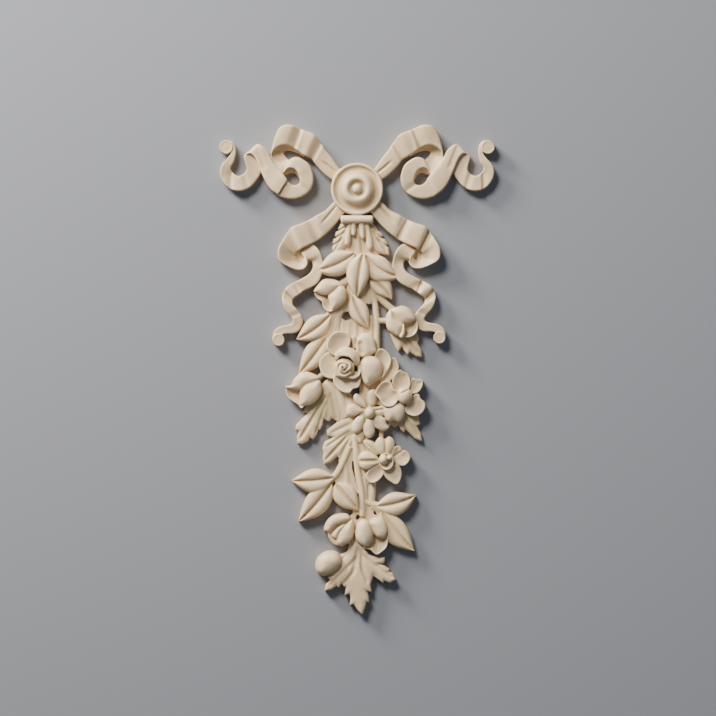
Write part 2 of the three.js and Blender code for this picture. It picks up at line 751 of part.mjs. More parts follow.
const buds = () => [
  budPetal([-9, -78], [-36.8, -85.5], 5.5, 7, 0.95),
  budPetal([-7, -86], [-25, -91.5], 9, 8.6, 1.05),
  budPetal([-14, -89], [-27.5, -101], 7, 7, 0.68),
  budPetal([-18, -84], [-35.5, -89.5], 6, 5, 0.5),
  budPetal([-29, -155], [-61, -163.5], 5.5, 7.6, 0.9),
  budPetal([-31, -156], [-42.5, -180.5], 9, 8.5, 1.1),
  budPetal([-38, -165], [-53, -180], 7, 8, 0.66),
  budPetal([-42, -163], [-60, -168], 6, 5, 0.55),
  budPetal([26, -101], [49.5, -108.5], 7.5, 6, 0.95),
  budPetal([25, -102], [37.5, -124], 7.5, 7.5, 1.05),
  budPetal([33, -113], [47.5, -120.5], 9, 5, 0.55),
  budPetal([-4, -274], [-28.5, -285], 5.5, 9.5, 0.92),
  budPetal([-5, -277], [-23.5, -288.5], 5, 4.4, 0.8),
  budPetal([-2, -279], [-17.5, -295.5], 9, 3.4, 0.98),
  budPetal([-8, -282], [-22, -295], 6.5, 6.5, 0.6),
  budPetal([14, -267], [19.5, -291], 7, 7, 0.95),
  budPetal([8, -281], [16, -303], 8.5, 8.5, 0.52),
  budPetal([13, -283], [24.5, -295], 6.5, 7.5, 0.6),
  boss([5, -285.5], 8.2 * girth, 12.6 * girth, 1.12 * BUD_HEIGHT, 0.5 * BUD_HEIGHT),
  boss([-24.5, -310.8], BERRY_WIDTH / 2, 0.465 * BERRY_WIDTH, BERRY_HEIGHT, 0.45 * BERRY_HEIGHT, 0.15),
  boss([-31.5, -317.5], 0.16 * BERRY_WIDTH, 0.14 * BERRY_WIDTH, 0.55 * BERRY_HEIGHT, 0.4 * BERRY_HEIGHT, 0, 9, 2),
];

const stems = () => [
  stem([[-14, -80], [-8, -76], [-4, -72]], 1.4, 1.1),
  stem([[9, -78], [10.2, -86], [10.6, -95.5]], 0.8, 0.9),
  stem([[12.5, -80], [15, -95], [16.2, -112], [16.5, -138]], 1, 1.05),
  stem([[11, -105], [12, -120], [11, -140]], 0.88, 0.95),
  stem([[15, -86], [22, -93.5], [31, -101]], 1.08, 1),
  stem([[17, -109], [22.5, -109.5], [28, -108]], 1, 1),
  stem([[-22, -149], [-28, -153.5], [-34, -159]], 0.92, 0.95),
  stem([[-6, -214], [-12, -228], [-17, -237], [-23, -243]], 1.12, 1.1),
  stem([[-2, -205], [-0.5, -222], [1, -237], [4, -252], [4.5, -272]], 1.08, 1.15),
  stem([[6, -234], [7, -250], [7, -266]], 0.84, 0.95),
  stem([[10.8, -236], [10.8, -250], [10.5, -263]], 1.4, 0.8),
  stem([[6, -259.5], [13, -262.5], [22, -264.5]], 1, 1.05),
  stem([[12, -264], [20, -268], [26, -276]], 1, 1),
  stem([[20, -195], [20.2, -210]], 0.76, 0.9),
  stem([[-15, -307], [-6, -302], [-4, -290]], 1, 1.05),
  stem([[-2, -286], [-1, -297], [1, -308]], 1.6, 1.05),
];

const BACKINGS = [
  [
    [[-21, -96], [-13.5, -99], [-13.5, -106.5], [-9, -109.8], [-5, -108], [10, -112], [10.5, -145], [-32, -148], [-29, -126], [-24, -108]],
  ],
  [[[-8, -78], [9, -78], [9, -95], [-7, -96], [-10, -92]]],
  [[[2, -152], [27, -145], [33, -150], [34, -165], [22, -180], [2, -178]]],
  [[[-21, -160], [-17, -165], [-6.5, -167.5], [-4, -172.5], [3, -171], [6, -188], [-2, -212], [-11, -207], [-12, -194], [-21, -186]]],
  [[[-9, -208], [8, -203], [12, -212], [18, -230], [9, -246], [6, -240], [0, -228], [-4, -226], [-9, -218]]],
  [[[-10, -222], [-4, -222], [-4.2, -232], [1.4, -253], [-6, -254], [-17, -247], [-19, -241], [-14, -232]]],
  [
    [[-4, -265], [2, -262], [8, -257], [22, -262], [27, -276], [22, -284], [-5, -284], [-7, -273.5], [-3.5, -269.5]],
    [
      [[-1.3, -273.5], [-0.3, -271], [1.5, -270.6], [2.5, -273], [1, -275.2], [-0.6, -275.2]],
      [[13.4, -268.8], [14.4, -267.2], [16.2, -269.4], [16.8, -271.2], [14.6, -270.9]],
    ],
  ],
  [[[22, -285], [27, -276], [32, -286], [26, -293]]],
];

const backings = () => BACKINGS.map(([outline, holes]) => backing(outline, holes));

// The casting

function casting() {
  const solids = [
    rosette(),
    tieBar(),
    neck(),
    ...bow(),
    ...collar(),
    ...leaves(),
    ...cutLeaves(),
    ...rose(),
    ...ballFlower(),
    ...daisy(),
    ...cupFlower(),
    ...buds(),
    ...stems(),
    ...backings(),
  ];
  return wasm.Manifold.union(solids).asOriginal().simplify(FACET_TOLERANCE);
}

function meshOf(solid, name, material) {
  const made = solid.getMesh();
  const geometry = new THREE.BufferGeometry();
  geometry.setAttribute("position", new THREE.BufferAttribute(made.vertProperties, 3));
  geometry.setIndex(new THREE.BufferAttribute(made.triVerts, 1));
  const flat = geometry.toNonIndexed();
  flat.computeVertexNormals();
  const mesh = new THREE.Mesh(flat, material);
  mesh.name = name;
  return mesh;
}

const polyurethane = new THREE.MeshStandardMaterial({ color: 0xd9ccb8, roughness: 0.62, metalness: 0 });

const onlay = new THREE.Group();
onlay.name = "onlay";
onlay.add(meshOf(casting(), "casting", polyurethane));

export default onlay;
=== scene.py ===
# %% [markdown]
# # A moulded onlay: ribbon bow and floral drop
# The object is a wall ornament cast in one piece in rigid polyurethane, with a flat back.
# The lesson loads the imported solid as a frame, models the carving again with finer relief,
# fuses it into one skin, and gives that skin the cream finish of the real casting, with bounce
# light, shade and highlights painted into its hollows, creases and crests.
# Lengths are in millimetres in the tables and in metres in Blender.

# %% The imported frame
import math

import bpy
import numpy as np
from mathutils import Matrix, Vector


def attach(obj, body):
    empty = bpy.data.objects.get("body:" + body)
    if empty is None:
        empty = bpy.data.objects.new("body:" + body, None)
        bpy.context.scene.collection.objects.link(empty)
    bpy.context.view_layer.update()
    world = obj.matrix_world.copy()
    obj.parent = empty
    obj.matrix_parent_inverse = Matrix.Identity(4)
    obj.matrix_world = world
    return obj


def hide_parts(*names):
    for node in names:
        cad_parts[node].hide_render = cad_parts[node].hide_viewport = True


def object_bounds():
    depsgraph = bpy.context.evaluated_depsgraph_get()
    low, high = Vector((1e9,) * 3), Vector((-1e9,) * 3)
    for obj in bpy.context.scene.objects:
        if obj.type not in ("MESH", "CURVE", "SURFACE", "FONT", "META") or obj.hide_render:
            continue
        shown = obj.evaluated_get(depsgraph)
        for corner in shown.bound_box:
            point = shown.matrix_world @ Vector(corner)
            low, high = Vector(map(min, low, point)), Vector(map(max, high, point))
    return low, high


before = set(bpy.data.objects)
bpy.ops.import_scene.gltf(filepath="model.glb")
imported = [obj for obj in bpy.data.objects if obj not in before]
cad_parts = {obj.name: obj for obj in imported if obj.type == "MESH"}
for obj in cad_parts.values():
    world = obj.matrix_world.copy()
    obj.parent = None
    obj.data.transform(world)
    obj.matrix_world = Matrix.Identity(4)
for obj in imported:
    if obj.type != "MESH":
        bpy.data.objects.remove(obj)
cad_box = [[float(value) for value in corner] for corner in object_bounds()]
MM = 0.001
print("the casting's box in metres:", cad_box)

# %% [markdown]
# ## Reliefs and the layout
# A carver starts from a drawing and a few heights. The heights are how far each kind of form
# stands off the flat back. The drawing is x to the right and z up from the rosette's centre.

# %% Heights of the forms
BACKING_HEIGHT = 6.0
STEM_HEIGHT = 7
LEAF_HEIGHT = 9
BERRY_HEIGHT = 15
ROSE_HEIGHT = 19
RIBBON_HEIGHT = 10
STEM_WIDTH = 5
print("tallest form:", ROSE_HEIGHT, "mm")

# %% [markdown]
# ## A sheet that becomes a solid
# Every leaf, petal and ribbon is a sheet of points over the back plane. Such a form could be
# sculpted from a block, but a sheet keeps to the sizes that were drawn. It starts as a flat
# grid, its points are moved to the form's face, and the sheet is then extruded and the new
# layer is squashed flat on the back plane. That closes it as a solid with upright sides, which
# is how a moulded part must be shaped to leave its mould.

# %% Make a solid from a sheet of points
WELD = 0.00001


def new_piece(name, add, **settings):
    """Add a primitive with nothing else selected, and name it."""
    bpy.ops.object.select_all(action="DESELECT")
    add(**settings)
    piece = bpy.context.object
    piece.name = name
    return piece


def start_edit():
    bpy.ops.object.mode_set(mode="EDIT")
    bpy.ops.mesh.select_all(action="SELECT")


def end_edit():
    """Turn every face outwards and leave edit mode."""
    bpy.ops.mesh.select_all(action="SELECT")
    bpy.ops.mesh.normals_make_consistent(inside=False)
    bpy.ops.object.mode_set(mode="OBJECT")


def sheet_solid(name, grid):
    """A closed solid under a sheet of points, each with its x, z and height in millimetres."""
    rows, lanes = grid.shape[:2]
    grid_add = bpy.ops.mesh.primitive_grid_add
    piece = new_piece(name, grid_add, x_subdivisions=lanes - 1, y_subdivisions=rows - 1, size=1)
    x, z, height = (grid[..., k].ravel() for k in range(3))
    points = np.stack([x, -height, z], axis=1) * MM
    piece.data.vertices.foreach_set("co", points.ravel())
    start_edit()
    bpy.ops.mesh.remove_doubles(threshold=WELD)
    bpy.ops.mesh.extrude_region_move(TRANSFORM_OT_translate={"value": (0, MM, 0)})
    bpy.ops.transform.resize(value=(1, 0, 1), center_override=(0, 0, 0))
    end_edit()
    return piece


print("one sheet makes one closed solid")

# %% [markdown]
# ## Smooth curves and soft edges
# The edges of a ribbon, the outline of a petal and the way of a stem are all drawn by a few
# points. One kind of curve runs through them all without overshooting, so what is drawn is
# what is made. A casting has no sharp rim, so a rounded edge is worked out here as well.

# %% Curves and rounded rims
def smooth_line(points, count):
    """Points along a smooth curve through the given ones, the same number in each span."""
    p = np.array(points, dtype=float)
    p = np.vstack([2 * p[0] - p[1], p, 2 * p[-1] - p[-2]])
    spans = len(p) - 3
    line = []
    for s in np.linspace(0, spans, count + 1):
        i = min(int(s), spans - 1)
        knots = [0.0]
        for k in range(3):
            gap = np.linalg.norm(p[i + k + 1] - p[i + k])
            knots.append(knots[-1] + max(gap, 1e-6) ** 0.5)
        t = knots[1] + (s - i) * (knots[2] - knots[1])
        layer = [p[i + k] for k in range(4)]
        for step in range(1, 4):
            layer = blend_layer(layer, knots, t, step)
        line.append(layer[0])
    return np.array(line)


def blend_layer(layer, knots, t, step):
    """One step of the pyramid that blends four neighbouring points at t."""
    spans = [(0, 1), (1, 2), (2, 3)] if step == 1 else [(0, 2), (1, 3)] if step == 2 else [(1, 2)]
    blended = []
    for k, (a, b) in enumerate(spans):
        share = (t - knots[a]) / (knots[b] - knots[a])
        blended.append(layer[k] * (1 - share) + layer[k + 1] * share)
    return blended


def rounding(distance, radius):
    """How far a rounded edge has fallen at a distance in from the rim."""
    inside = np.clip(radius - distance, 0, radius)
    return radius - np.sqrt(radius * radius - inside * inside)


print("a 1 mm edge has fallen at its rim by", float(rounding(0, 1.0)), "mm")

# %% [markdown]
# ## The ribbons
# On the real casting the bow is a carved ribbon that loops, curls and rolls up at its ends. A
# curve with a bevel could be bent along it, but a real ribbon changes its width as it turns.
# So it is drawn by its two edges. Each station gives x and z on the outer edge, x and z on the
# inner edge, and the two heights as shares of the ribbon's height, so the strip can rise, dip
# and roll under. The bow's two halves are nearly mirrored, so the left half serves for both.

# %% Stations of the upper ribbons
TOP_LOOP = [
    [-9, 12, -14, 4, 0.8, 0.8],
    [-14.5, 17, -21, 8, 0.85, 0.85],
    [-20, 25, -27, 12.5, 0.9, 0.88],
    [-26, 32.5, -34, 20, 0.95, 0.9],
    [-31, 40, -38, 25, 1.1, 1.0],
    [-36, 45.5, -42, 27, 1.25, 1.15],
    [-44, 48.7, -47, 30, 1.2, 1.1],
    [-49, 51, -50.5, 32.5, 1.3, 1.15],
    [-54, 53, -55, 35.4, 1.4, 1.2],
    [-60, 53, -61, 36.6, 1.4, 1.2],
    [-65, 50, -66.5, 34.6, 1.25, 1.15],
    [-69, 41, -70.2, 31, 1.1, 1.1],
    [-71.4, 31, -71.2, 27.5, 1.0, 1.0],
]
TOP_UNDER = [
    [-44, 27, -44.5, 30.5, 0.7, 0.95],
    [-49, 30, -50, 34, 0.6, 0.95],
    [-54.5, 32, -56, 36.5, 0.5, 0.95],
    [-59.3, 32.2, -64, 36.5, 0.42, 0.95],
    [-61, 30.8, -69.5, 33.5, 0.38, 0.95],
    [-60.3, 28.4, -71.6, 28, 0.42, 0.95],
    [-58.4, 26, -71.2, 22.5, 0.6, 1.0],
    [-56, 24, -68.5, 17, 0.85, 1.08],
    [-54.2, 22.3, -63, 13, 1.0, 1.1],
    [-55, 19.5, -60.8, 12.6, 0.98, 1.0],
]
TOP_CURL = [
    [-55.5, 25, -61.4, 13.2, 1.0, 1.0],
    [-53, 26.2, -58.8, 16.2, 1.05, 1.05],
    [-49.5, 26.5, -55.8, 17.6, 1.1, 1.1],
    [-45, 24.5, -52, 16.6, 1.15, 1.1],
    [-40, 20.5, -49, 13.2, 1.15, 1.1],
    [-37, 14, -47.7, 8.6, 1.1, 1.0],
    [-36.5, 6, -48, 5, 1.05, 0.95],
    [-39.5, -1, -50, 3.5, 0.95, 0.9],
    [-46, -6, -53.5, 3.5, 0.92, 0.9],
    [-55, -8, -56, 5, 0.92, 0.9],
    [-64, -6, -58, 7.5, 0.88, 0.88],
    [-69, -2.5, -59, 9, 0.85, 0.85],
]
TOP_LIP = [
    [-61.4, 14.8, -61.6, 11.2, 0.95, 0.55],
    [-58.6, 17, -58.8, 12.2, 0.98, 0.55],
    [-55.4, 18.4, -55.8, 13.5, 1.0, 0.55],
    [-51.6, 17.4, -52.8, 13.7, 1.0, 0.55],
    [-48.6, 14, -50.4, 12.2, 1.0, 0.55],
    [-47, 9.6, -48.6, 9, 1.0, 0.6],
]
TOP_BAND = [
    [-58, 8, -66, -4.5, 1.12, 1.1],
    [-61, 12, -71, -1, 1.15, 1.1],
    [-66, 17.5, -76, 6, 1.05, 1.0],
    [-71, 24.5, -80, 15, 1.0, 1.0],
    [-74, 31, -82.4, 21.3, 1.0, 1.05],
    [-77.5, 35, -85.4, 26.8, 1.05, 1.08],
    [-80.8, 37, -89.4, 29.6, 1.05, 1.05],
    [-83.4, 37.6, -93.8, 27.4, 0.95, 0.8],
]
TOP_TAIL = [
    [-79, 27, -90.5, 31.5, 0.62, 0.8],
    [-79.5, 20, -94, 27.2, 0.6, 0.88],
    [-80, 14, -92.8, 21.5, 0.62, 0.86],
    [-84, 7, -91.8, 16.5, 0.75, 0.85],
    [-90, 1, -94, 13, 0.85, 0.85],
    [-98, -1.5, -98.5, 11, 0.9, 0.85],
    [-106, 0.5, -102, 12.5, 0.85, 0.8],
    [-112, 7, -105, 16.5, 0.8, 0.8],
    [-114, 14, -104.8, 19, 0.9, 0.85],
    [-112.5, 20, -103, 21.5, 0.95, 0.9],
    [-108, 25.2, -101.5, 26, 0.95, 0.9],
    [-105, 29.5, -100.8, 31, 0.9, 0.9],
    [-104.2, 33.5, -101.4, 36, 0.84, 0.82],
    [-105, 37, -103.4, 39.4, 0.82, 0.8],
    [-108, 39.4, -107.6, 40.8, 0.8, 0.78],
]
print("points along the top loop:", len(TOP_LOOP))

# %% Stations of the lower ribbons
LOW_LOOP = [
    [-12, -8, -8, -16, 0.8, 0.8],
    [-19.5, -11, -13.5, -23.5, 0.85, 0.85],
    [-26, -17.5, -20, -31.5, 0.9, 0.9],
    [-34, -22, -28, -39, 1.05, 0.95],
    [-38, -24.5, -32, -42, 0.92, 0.85],
    [-46, -28.5, -38, -45.5, 1.1, 1.0],
    [-54, -31.5, -46, -49.5, 1.2, 1.05],
    [-57, -34.5, -49, -51.5, 1.0, 0.9],
    [-61, -41, -51.5, -53.5, 1.2, 0.85],
    [-65.5, -50, -51, -56, 1.25, 0.5],
    [-65, -59, -50, -58.5, 1.2, 0.4],
    [-58, -64, -48.8, -59.5, 1.1, 0.38],
    [-50, -67, -47.8, -60.4, 1.0, 0.45],
    [-44.6, -66.6, -46.6, -60, 1.0, 0.5],
    [-41.6, -63.6, -45, -57.8, 1.0, 0.62],
    [-41, -60.6, -43, -55.4, 1.0, 0.9],
]
LOW_TAIL = [
    [-38, -45.5, -47, -50.5, 0.6, 0.5],
    [-34.5, -47.5, -45.5, -54.5, 0.9, 0.78],
    [-31, -52, -42, -58.6, 1.08, 0.8],
    [-28.8, -58.5, -37.8, -60.2, 1.02, 0.62],
    [-28, -65, -36.8, -64.6, 0.95, 0.8],
    [-29.5, -71.5, -39, -69.5, 0.95, 0.9],
    [-33, -78, -43.5, -73, 1.0, 0.95],
    [-38.5, -81.8, -49, -76, 0.95, 0.95],
    [-44, -84.5, -53, -78, 0.85, 0.85],
    [-49.5, -88.5, -58.5, -81.5, 1.05, 1.05],
    [-53.5, -92.5, -62, -88, 0.85, 0.85],
    [-53.3, -96, -62, -94, 1.0, 1.0],
    [-50.5, -99.5, -60, -100, 1.0, 0.95],
    [-47, -104, -56, -105, 0.95, 0.9],
    [-45, -109.5, -53.5, -109, 0.85, 0.85],
    [-47.5, -116.5, -54.5, -111.5, 0.75, 0.8],
    [-52, -119.7, -58, -113, 0.8, 0.85],
    [-58, -120, -63.5, -114, 0.85, 0.85],
    [-61, -120.5, -69, -118, 0.85, 0.85],
    [-63, -122, -70.5, -124, 0.85, 0.85],
]
LOW_STRIPS = {"loop": LOW_LOOP, "tail": LOW_TAIL}
TOP_STRIPS = {
    "loop": TOP_LOOP,
    "under": TOP_UNDER,
    "curl": TOP_CURL,
    "lip": TOP_LIP,
    "band": TOP_BAND,
    "tail": TOP_TAIL,
}
station_counts = [sum(map(len, strips.values())) for strips in (TOP_STRIPS, LOW_STRIPS)]
print("stations of the upper and the lower ribbons:", station_counts)

# %% [markdown]
# ## Folds and pleats
# A fold is a line where the ribbon's face drops and then climbs back, as where cloth is
# creased. It is given by x and z at both ends, the drop, how wide the drop is, and how far the
# climb takes. The drop lies to the right of the line's way. A pleat is a short groove by the
# rosette, where the ribbon is gathered. Both are taken off the sheet's heights, so they stay
# crisp and cost no further geometry.

# %% Folds and pleats pressed into a ribbon
TOP_FOLDS = {
    "loop": [(-44.5, 52, -51.5, 33, 2.6, 3.6, 10), (-28.5, 38, -37, 23, 2.3, 3.2, 10)],
    "band": [(-84, 40, -76, 20, 0.9, 3, 7)],
    "tail": [(-103.6, 12, -104.2, -2, 1.6, 2.2, 6), (-92.5, 12, -89, 0, 1.2, 4, 6)],
    "curl": [(-40, -4, -50, 4, 0.9, 3, 6)],
}
LOW_FOLDS = {
    "loop": [(-56.5, -34.5, -48.3, -51, 3.0, 1.3, 9), (-39, -25, -31.5, -40.5, 1.5, 2.0, 7),
        (-62, -33, -53, -60, 1.0, 6, 8)],
    "tail": [(-50.6, -77.5, -47.5, -85.5, 1.4, 1.4, 4), (-60.5, -84, -50.5, -95, 2.4, 2.2, 6),
        (-45, -103, -56, -108, 0.9, 3, 6)],
}
PLEAT_DEPTH = 1.7
PLEAT_WIDTH = 0.9
PLEATS = [[-16.5, 13, -28, 22.5], [-17.5, -14.5, -28.5, -27.5]]


def line_frame(x, z, x0, z0, x1, z1):
    """Distance along a line and off it, for points anywhere round it."""
    length = math.hypot(x1 - x0, z1 - z0)
    ux, uz = (x1 - x0) / length, (z1 - z0) / length
    return (x - x0) * ux + (z - z0) * uz, (x - x0) * uz - (z - z0) * ux, length


def fold_drop(x, z, fold):
    """How far a fold takes the face down, next to its line and back up."""
    along, off, length = line_frame(x, z, *fold[:4])
    drop, steep, climb = fold[4:]
    down = np.clip(off / steep + 0.5, 0, 1)
    up = np.clip(off / climb, 0, 1)
    near = np.clip(along / 4 + 1, 0, 1) * np.clip((length - along) / 4 + 1, 0, 1)
    return drop * (down * down * (3 - 2 * down) - up * up * (3 - 2 * up)) * near


def pleat_depth(x, z, pleat):
    """A short groove that fades out at both its ends."""
    along, off, length = line_frame(x, z, *pleat)
    return PLEAT_DEPTH * np.exp(-((off / PLEAT_WIDTH) ** 2)) * np.exp(-((2 * along / length - 1) ** 4))


print("folds:", sum(map(len, TOP_FOLDS.values())) + sum(map(len, LOW_FOLDS.values())))

# %% [markdown]
# ## Laying the strips
# The lanes between a ribbon's two edges are closest together near the rims, where the rounded
# edge needs them. A strip that shows its outside is a little crowned, and one that shows its
# inside is hollow. The lower right ribbon of the real casting is slightly wider and shorter
# than the left one, so its copy is stretched in its points.

# %% Ribbon strips
RIBBON_ROUND = 1.3
CROWN = 0.5
BELLIES = {"under": -1.6, "curl": 0.2, "tail": -0.3, "lip": -0.4}
SIDES = {"left": (1, 1.0, 1.0), "right": (-1, 1.05, 0.985)}


def ribbon(name, label, stations, folds, side=1, stretch=1.0, lift=1.0):
    """One strip of ribbon between the two edges that its stations give."""
    count = (len(stations) - 1) * 8
    outer = smooth_line([(s[0], s[1], s[4] * RIBBON_HEIGHT) for s in stations], count)
    inner = smooth_line([(s[2], s[3], s[5] * RIBBON_HEIGHT) for s in stations], count)
    v = (0.5 - 0.5 * np.cos(np.linspace(0, math.pi, 33)))[None, :, None]
    grid = outer[:, None, :] * (1 - v) + inner[:, None, :] * v
    width = np.linalg.norm(inner[:, :2] - outer[:, :2], axis=1)[:, None]
    v = v[..., 0]
    x, z = grid[..., 0].copy(), grid[..., 1].copy()
    rim = np.minimum(v, 1 - v) * width
    grid[..., 2] += BELLIES.get(label, CROWN) * (1 - (2 * v - 1) ** 2) - rounding(rim, RIBBON_ROUND)
    for fold in folds.get(label, []):
        grid[..., 2] -= fold_drop(x, z, fold)
    if label == "loop":
        for pleat in PLEATS:
            grid[..., 2] -= pleat_depth(x, z, pleat)
    grid[..., 0] *= side * stretch
    grid[..., 1] *= lift
    grid[..., 2] = np.clip(grid[..., 2], 1.5, 18)
    return sheet_solid(name, grid)


parts = []
for hand, (side, stretch, lift) in SIDES.items():
    for label, stations in TOP_STRIPS.items():
        parts.append(ribbon(f"top_{label}_{hand}", label, stations, TOP_FOLDS, side))
    for label, stations in LOW_STRIPS.items():
        parts.append(ribbon(f"low_{label}_{hand}", label, stations, LOW_FOLDS, side, stretch, lift))
print("ribbon strips:", len(parts))

# %% [markdown]
# ## Pockets in the lower curls
# Where the lower ribbon turns back on itself, the eye looks into the turn. The mould closes it
# with a smooth hollow. A sheet is drawn from the rim of the turn down to one low point, along
# a quarter of a sine, which gives a bowl that is steep at its rim.

# %% Pockets
POCKET = [[-53, -50, 0.5], [-46, -47.5, 0.4], [-39, -49, 0.4], [-37.5, -54, 0.5], [-38.4, -58.6, 0.5],
    [-42.4, -62.6, 0.5], [-49, -64, 0.5], [-53, -59, 0.5]]
POCKET_LOW = np.array([-47.4, -57.2, 0.14])
for hand, (side, stretch, lift) in SIDES.items():
    rim = smooth_line(POCKET + POCKET[:1], 64)
    share = np.sin(np.linspace(0, math.pi / 2, 14))[None, :, None]
    grid = POCKET_LOW + (rim[:, None, :] - POCKET_LOW) * share
    parts.append(sheet_solid(f"low_pocket_{hand}", grid * [side * stretch, lift, RIBBON_HEIGHT]))
print("with the pockets:", len(parts))

# %% [markdown]
# ## The rosette
# The rosette is a turned shape: a raised rim, a hollow, a rounded ring and a bead. Its section
# is drawn once, from the axis out to the rim, and spun round the axis that comes out of the
# wall. A lathe would cut the master in the same way.

# %% Spin the rosette
def spun(name, section, centre=(0, 0), steps=96):
    """A turned solid from [radius, height] points that start and end on its axis."""
    circle_add = bpy.ops.mesh.primitive_circle_add
    piece = new_piece(name, circle_add, vertices=len(section), fill_type="NOTHING")
    for vertex, (radius, height) in zip(piece.data.vertices, section):
        vertex.co = (radius * MM, -height * MM, 0)
    start_edit()
    bpy.ops.mesh.spin(steps=steps, angle=2 * math.pi, center=(0, 0, 0), axis=(0, 1, 0))
    bpy.ops.mesh.select_all(action="SELECT")
    bpy.ops.mesh.remove_doubles(threshold=WELD)
    bpy.ops.transform.translate(value=(centre[0] * MM, 0, centre[1] * MM))
    end_edit()
    return piece


def rounded_section(points, count):
    """The section with its corners softened by a smooth curve through its points."""
    return [[0, 0], [points[0][0], 0]] + smooth_line([(r, h) for r, h in points], count).tolist()


ROSETTE = [[21.7, 9.5], [21.5, 11.6], [20.8, 12.6], [19.6, 12.4], [18.7, 11.2], [18.0, 10.6], [17.0, 10.6],
    [15.6, 11.0], [14.3, 12.2], [12.8, 14.4], [11.3, 16.0], [9.6, 16.7], [8.1, 16.4], [7.0, 15.2],
    [6.0, 13.9], [5.0, 13.3], [4.4, 13.8], [3.8, 15.3], [2.4, 16.9], [0.9, 17.5], [0, 17.5]]
parts.append(spun("rosette", rounded_section(ROSETTE, 80)))
print("rosette verts:", len(parts[-1].data.vertices))

# %% [markdown]
# ## Rolled ends and bosses
# Each ribbon ends in a tight roll that is seen from its end, so it is a small turned disc with
# a raised lip, spun like the rosette. The flowers' centres are bosses: spheres whose back half
# is pressed flat on the back plane, and whose front half is drawn out to the form's height.

# %% Rolled ends and bosses
def boss(name, centre, rx, rz, high, edge):
    """A round knob that stands on the back plane, with a straight side up to its edge height."""
    sphere_add = bpy.ops.mesh.primitive_uv_sphere_add
    piece = new_piece(name, sphere_add, segments=48, ring_count=25, radius=1)
    start_edit()
    bpy.ops.transform.rotate(value=math.pi / 2, orient_axis="X", center_override=(0, 0, 0))
    bpy.ops.object.mode_set(mode="OBJECT")
    for vertex in piece.data.vertices:
        x, y, z = vertex.co
        height = edge + (high - edge) * -y if y < 0.01 else 0
        vertex.co = ((centre[0] + x * rx) * MM, -height * MM, (centre[1] + z * rz) * MM)
    return piece


ROLL = [[1, 7.2], [0.98, 8.6], [0.93, 9.2], [0.86, 9.3], [0.75, 9.0], [0.4, 9.0], [0, 9.1]]
for hand, (side, stretch, lift) in SIDES.items():
    rolls = [("top", (side * -108.8, 34.9), 5.7), ("low", (side * stretch * -65.3, lift * -125.4), 5.0)]
    for label, centre, radius in rolls:
        section = rounded_section([[r * radius, h] for r, h in ROLL], 24)
        parts.append(spun(f"{label}_roll_{hand}", section, centre, 48))
print("parts so far:", len(parts))

# %% [markdown]
# ## Smooth leaves
# A smooth leaf has a midrib from its base to its tip and a half-width on either side, so a few
# numbers place it. It could be a bent plane with thickness, but the carved leaf is full: its
# two halves are convex, with a groove between them that fades out at the tip. The edge is
# rounded by its distance from the rim, so the thickness looks cast and not cut.

# %% The leaf's face and how it is laid out
LEAF_CROWN = 1.9
GROOVE_DEPTH = 1.1
GROOVE_WIDTH = 0.75
EDGE_ROUND = 0.9
BASE_SHARE = 0.8
TIP_SHARE = 0.62


def leaf_face(t, v, off):
    """Height over the leaf's mean, from t along it and v across it."""
    groove = GROOVE_DEPTH * np.exp(-((off / GROOVE_WIDTH) ** 2)) * np.clip((1 - t) * 6, 0, 1)
    hump = LEAF_CROWN * (1 - (1.8 * np.abs(v) - 0.9) ** 2)
    return hump - groove - 0.7 * np.abs(v) ** 4


def leaf(name, start, tip, left, right, bend=0, share=1.0, belly=0.45):
    """A leaf from its start to its tip, widest where belly says, and bent sideways."""
    start = np.array(start, dtype=float)
    way = np.array(tip, dtype=float) - start
    length = float(np.hypot(*way))
    normal = np.array([-way[1], way[0]]) / length
    t = np.linspace(0, 1, max(14, int(length * 1.1)) + 1)[:, None]
    lanes = 2 * max(6, int(max(left, right) * 1.3)) + 1
    v = np.sin(np.linspace(-math.pi / 2, math.pi / 2, lanes))[None, :]
    half = np.where(v > 0, left, right) * np.sin(math.pi * t ** (math.log(0.5) / math.log(belly))) ** 0.9
    half = np.maximum(0.25, half)
    side = v * half
    swing = bend * 4 * t * (1 - t)
    slope = bend * 4 * (1 - 2 * t) / length
    x = start[0] + way[0] * t + normal[0] * (swing + side) - way[0] / length * side * slope
    z = start[1] + way[1] * t + normal[1] * (swing + side) - way[1] / length * side * slope
    rise = BASE_SHARE + (1 - BASE_SHARE) * np.sin(math.pi / 2 * np.minimum(1, t / 0.45))
    drop = (1 - TIP_SHARE) * (np.maximum(0, t - 0.55) / 0.45) ** 2
    height = LEAF_HEIGHT * share * (rise - drop) + leaf_face(t, v, side)
    height = height - rounding(half * (1 - np.abs(v)), EDGE_ROUND)
    return sheet_solid(name, np.stack(np.broadcast_arrays(x, z, np.maximum(1.2, height)), axis=2))


print("a leaf stands", LEAF_HEIGHT, "mm off the back, plus its crown")

# %% [markdown]
# ## Pads with a drawn outline
# Buds, ruffled petals and toothed leaves don't follow a midrib, so each is drawn by its
# outline. The sheet runs out from a middle point to that outline, and its height depends on
# the true distance to the rim: domed, cupped or nearly flat. Where two lobes meet, the rim is
# close on both sides and a crease forms by itself, much as a carver's gouge would leave it.

# %% A pad from its outline
def closed_line(outline, count, sharp):
    """The outline as an even closed line, smoothed unless its corners are to stay sharp."""
    p = np.array(outline, dtype=float)
    if not sharp:
        wrapped = np.vstack([p[-2:], p, p[:3]])
        whole = smooth_line(wrapped, (len(wrapped) - 1) * 10)
        p = whole[20:20 + len(outline) * 10]
    p = np.vstack([p, p[:1]])
    steps = np.hypot(*np.diff(p, axis=0).T)
    run = np.concatenate([[0], np.cumsum(steps)])
    marks = np.linspace(0, run[-1], count + 1)
    if sharp:
        marks = np.unique(np.concatenate([marks, run]))
    return np.stack([np.interp(marks, run, p[:, k]) for k in (0, 1)], axis=1)


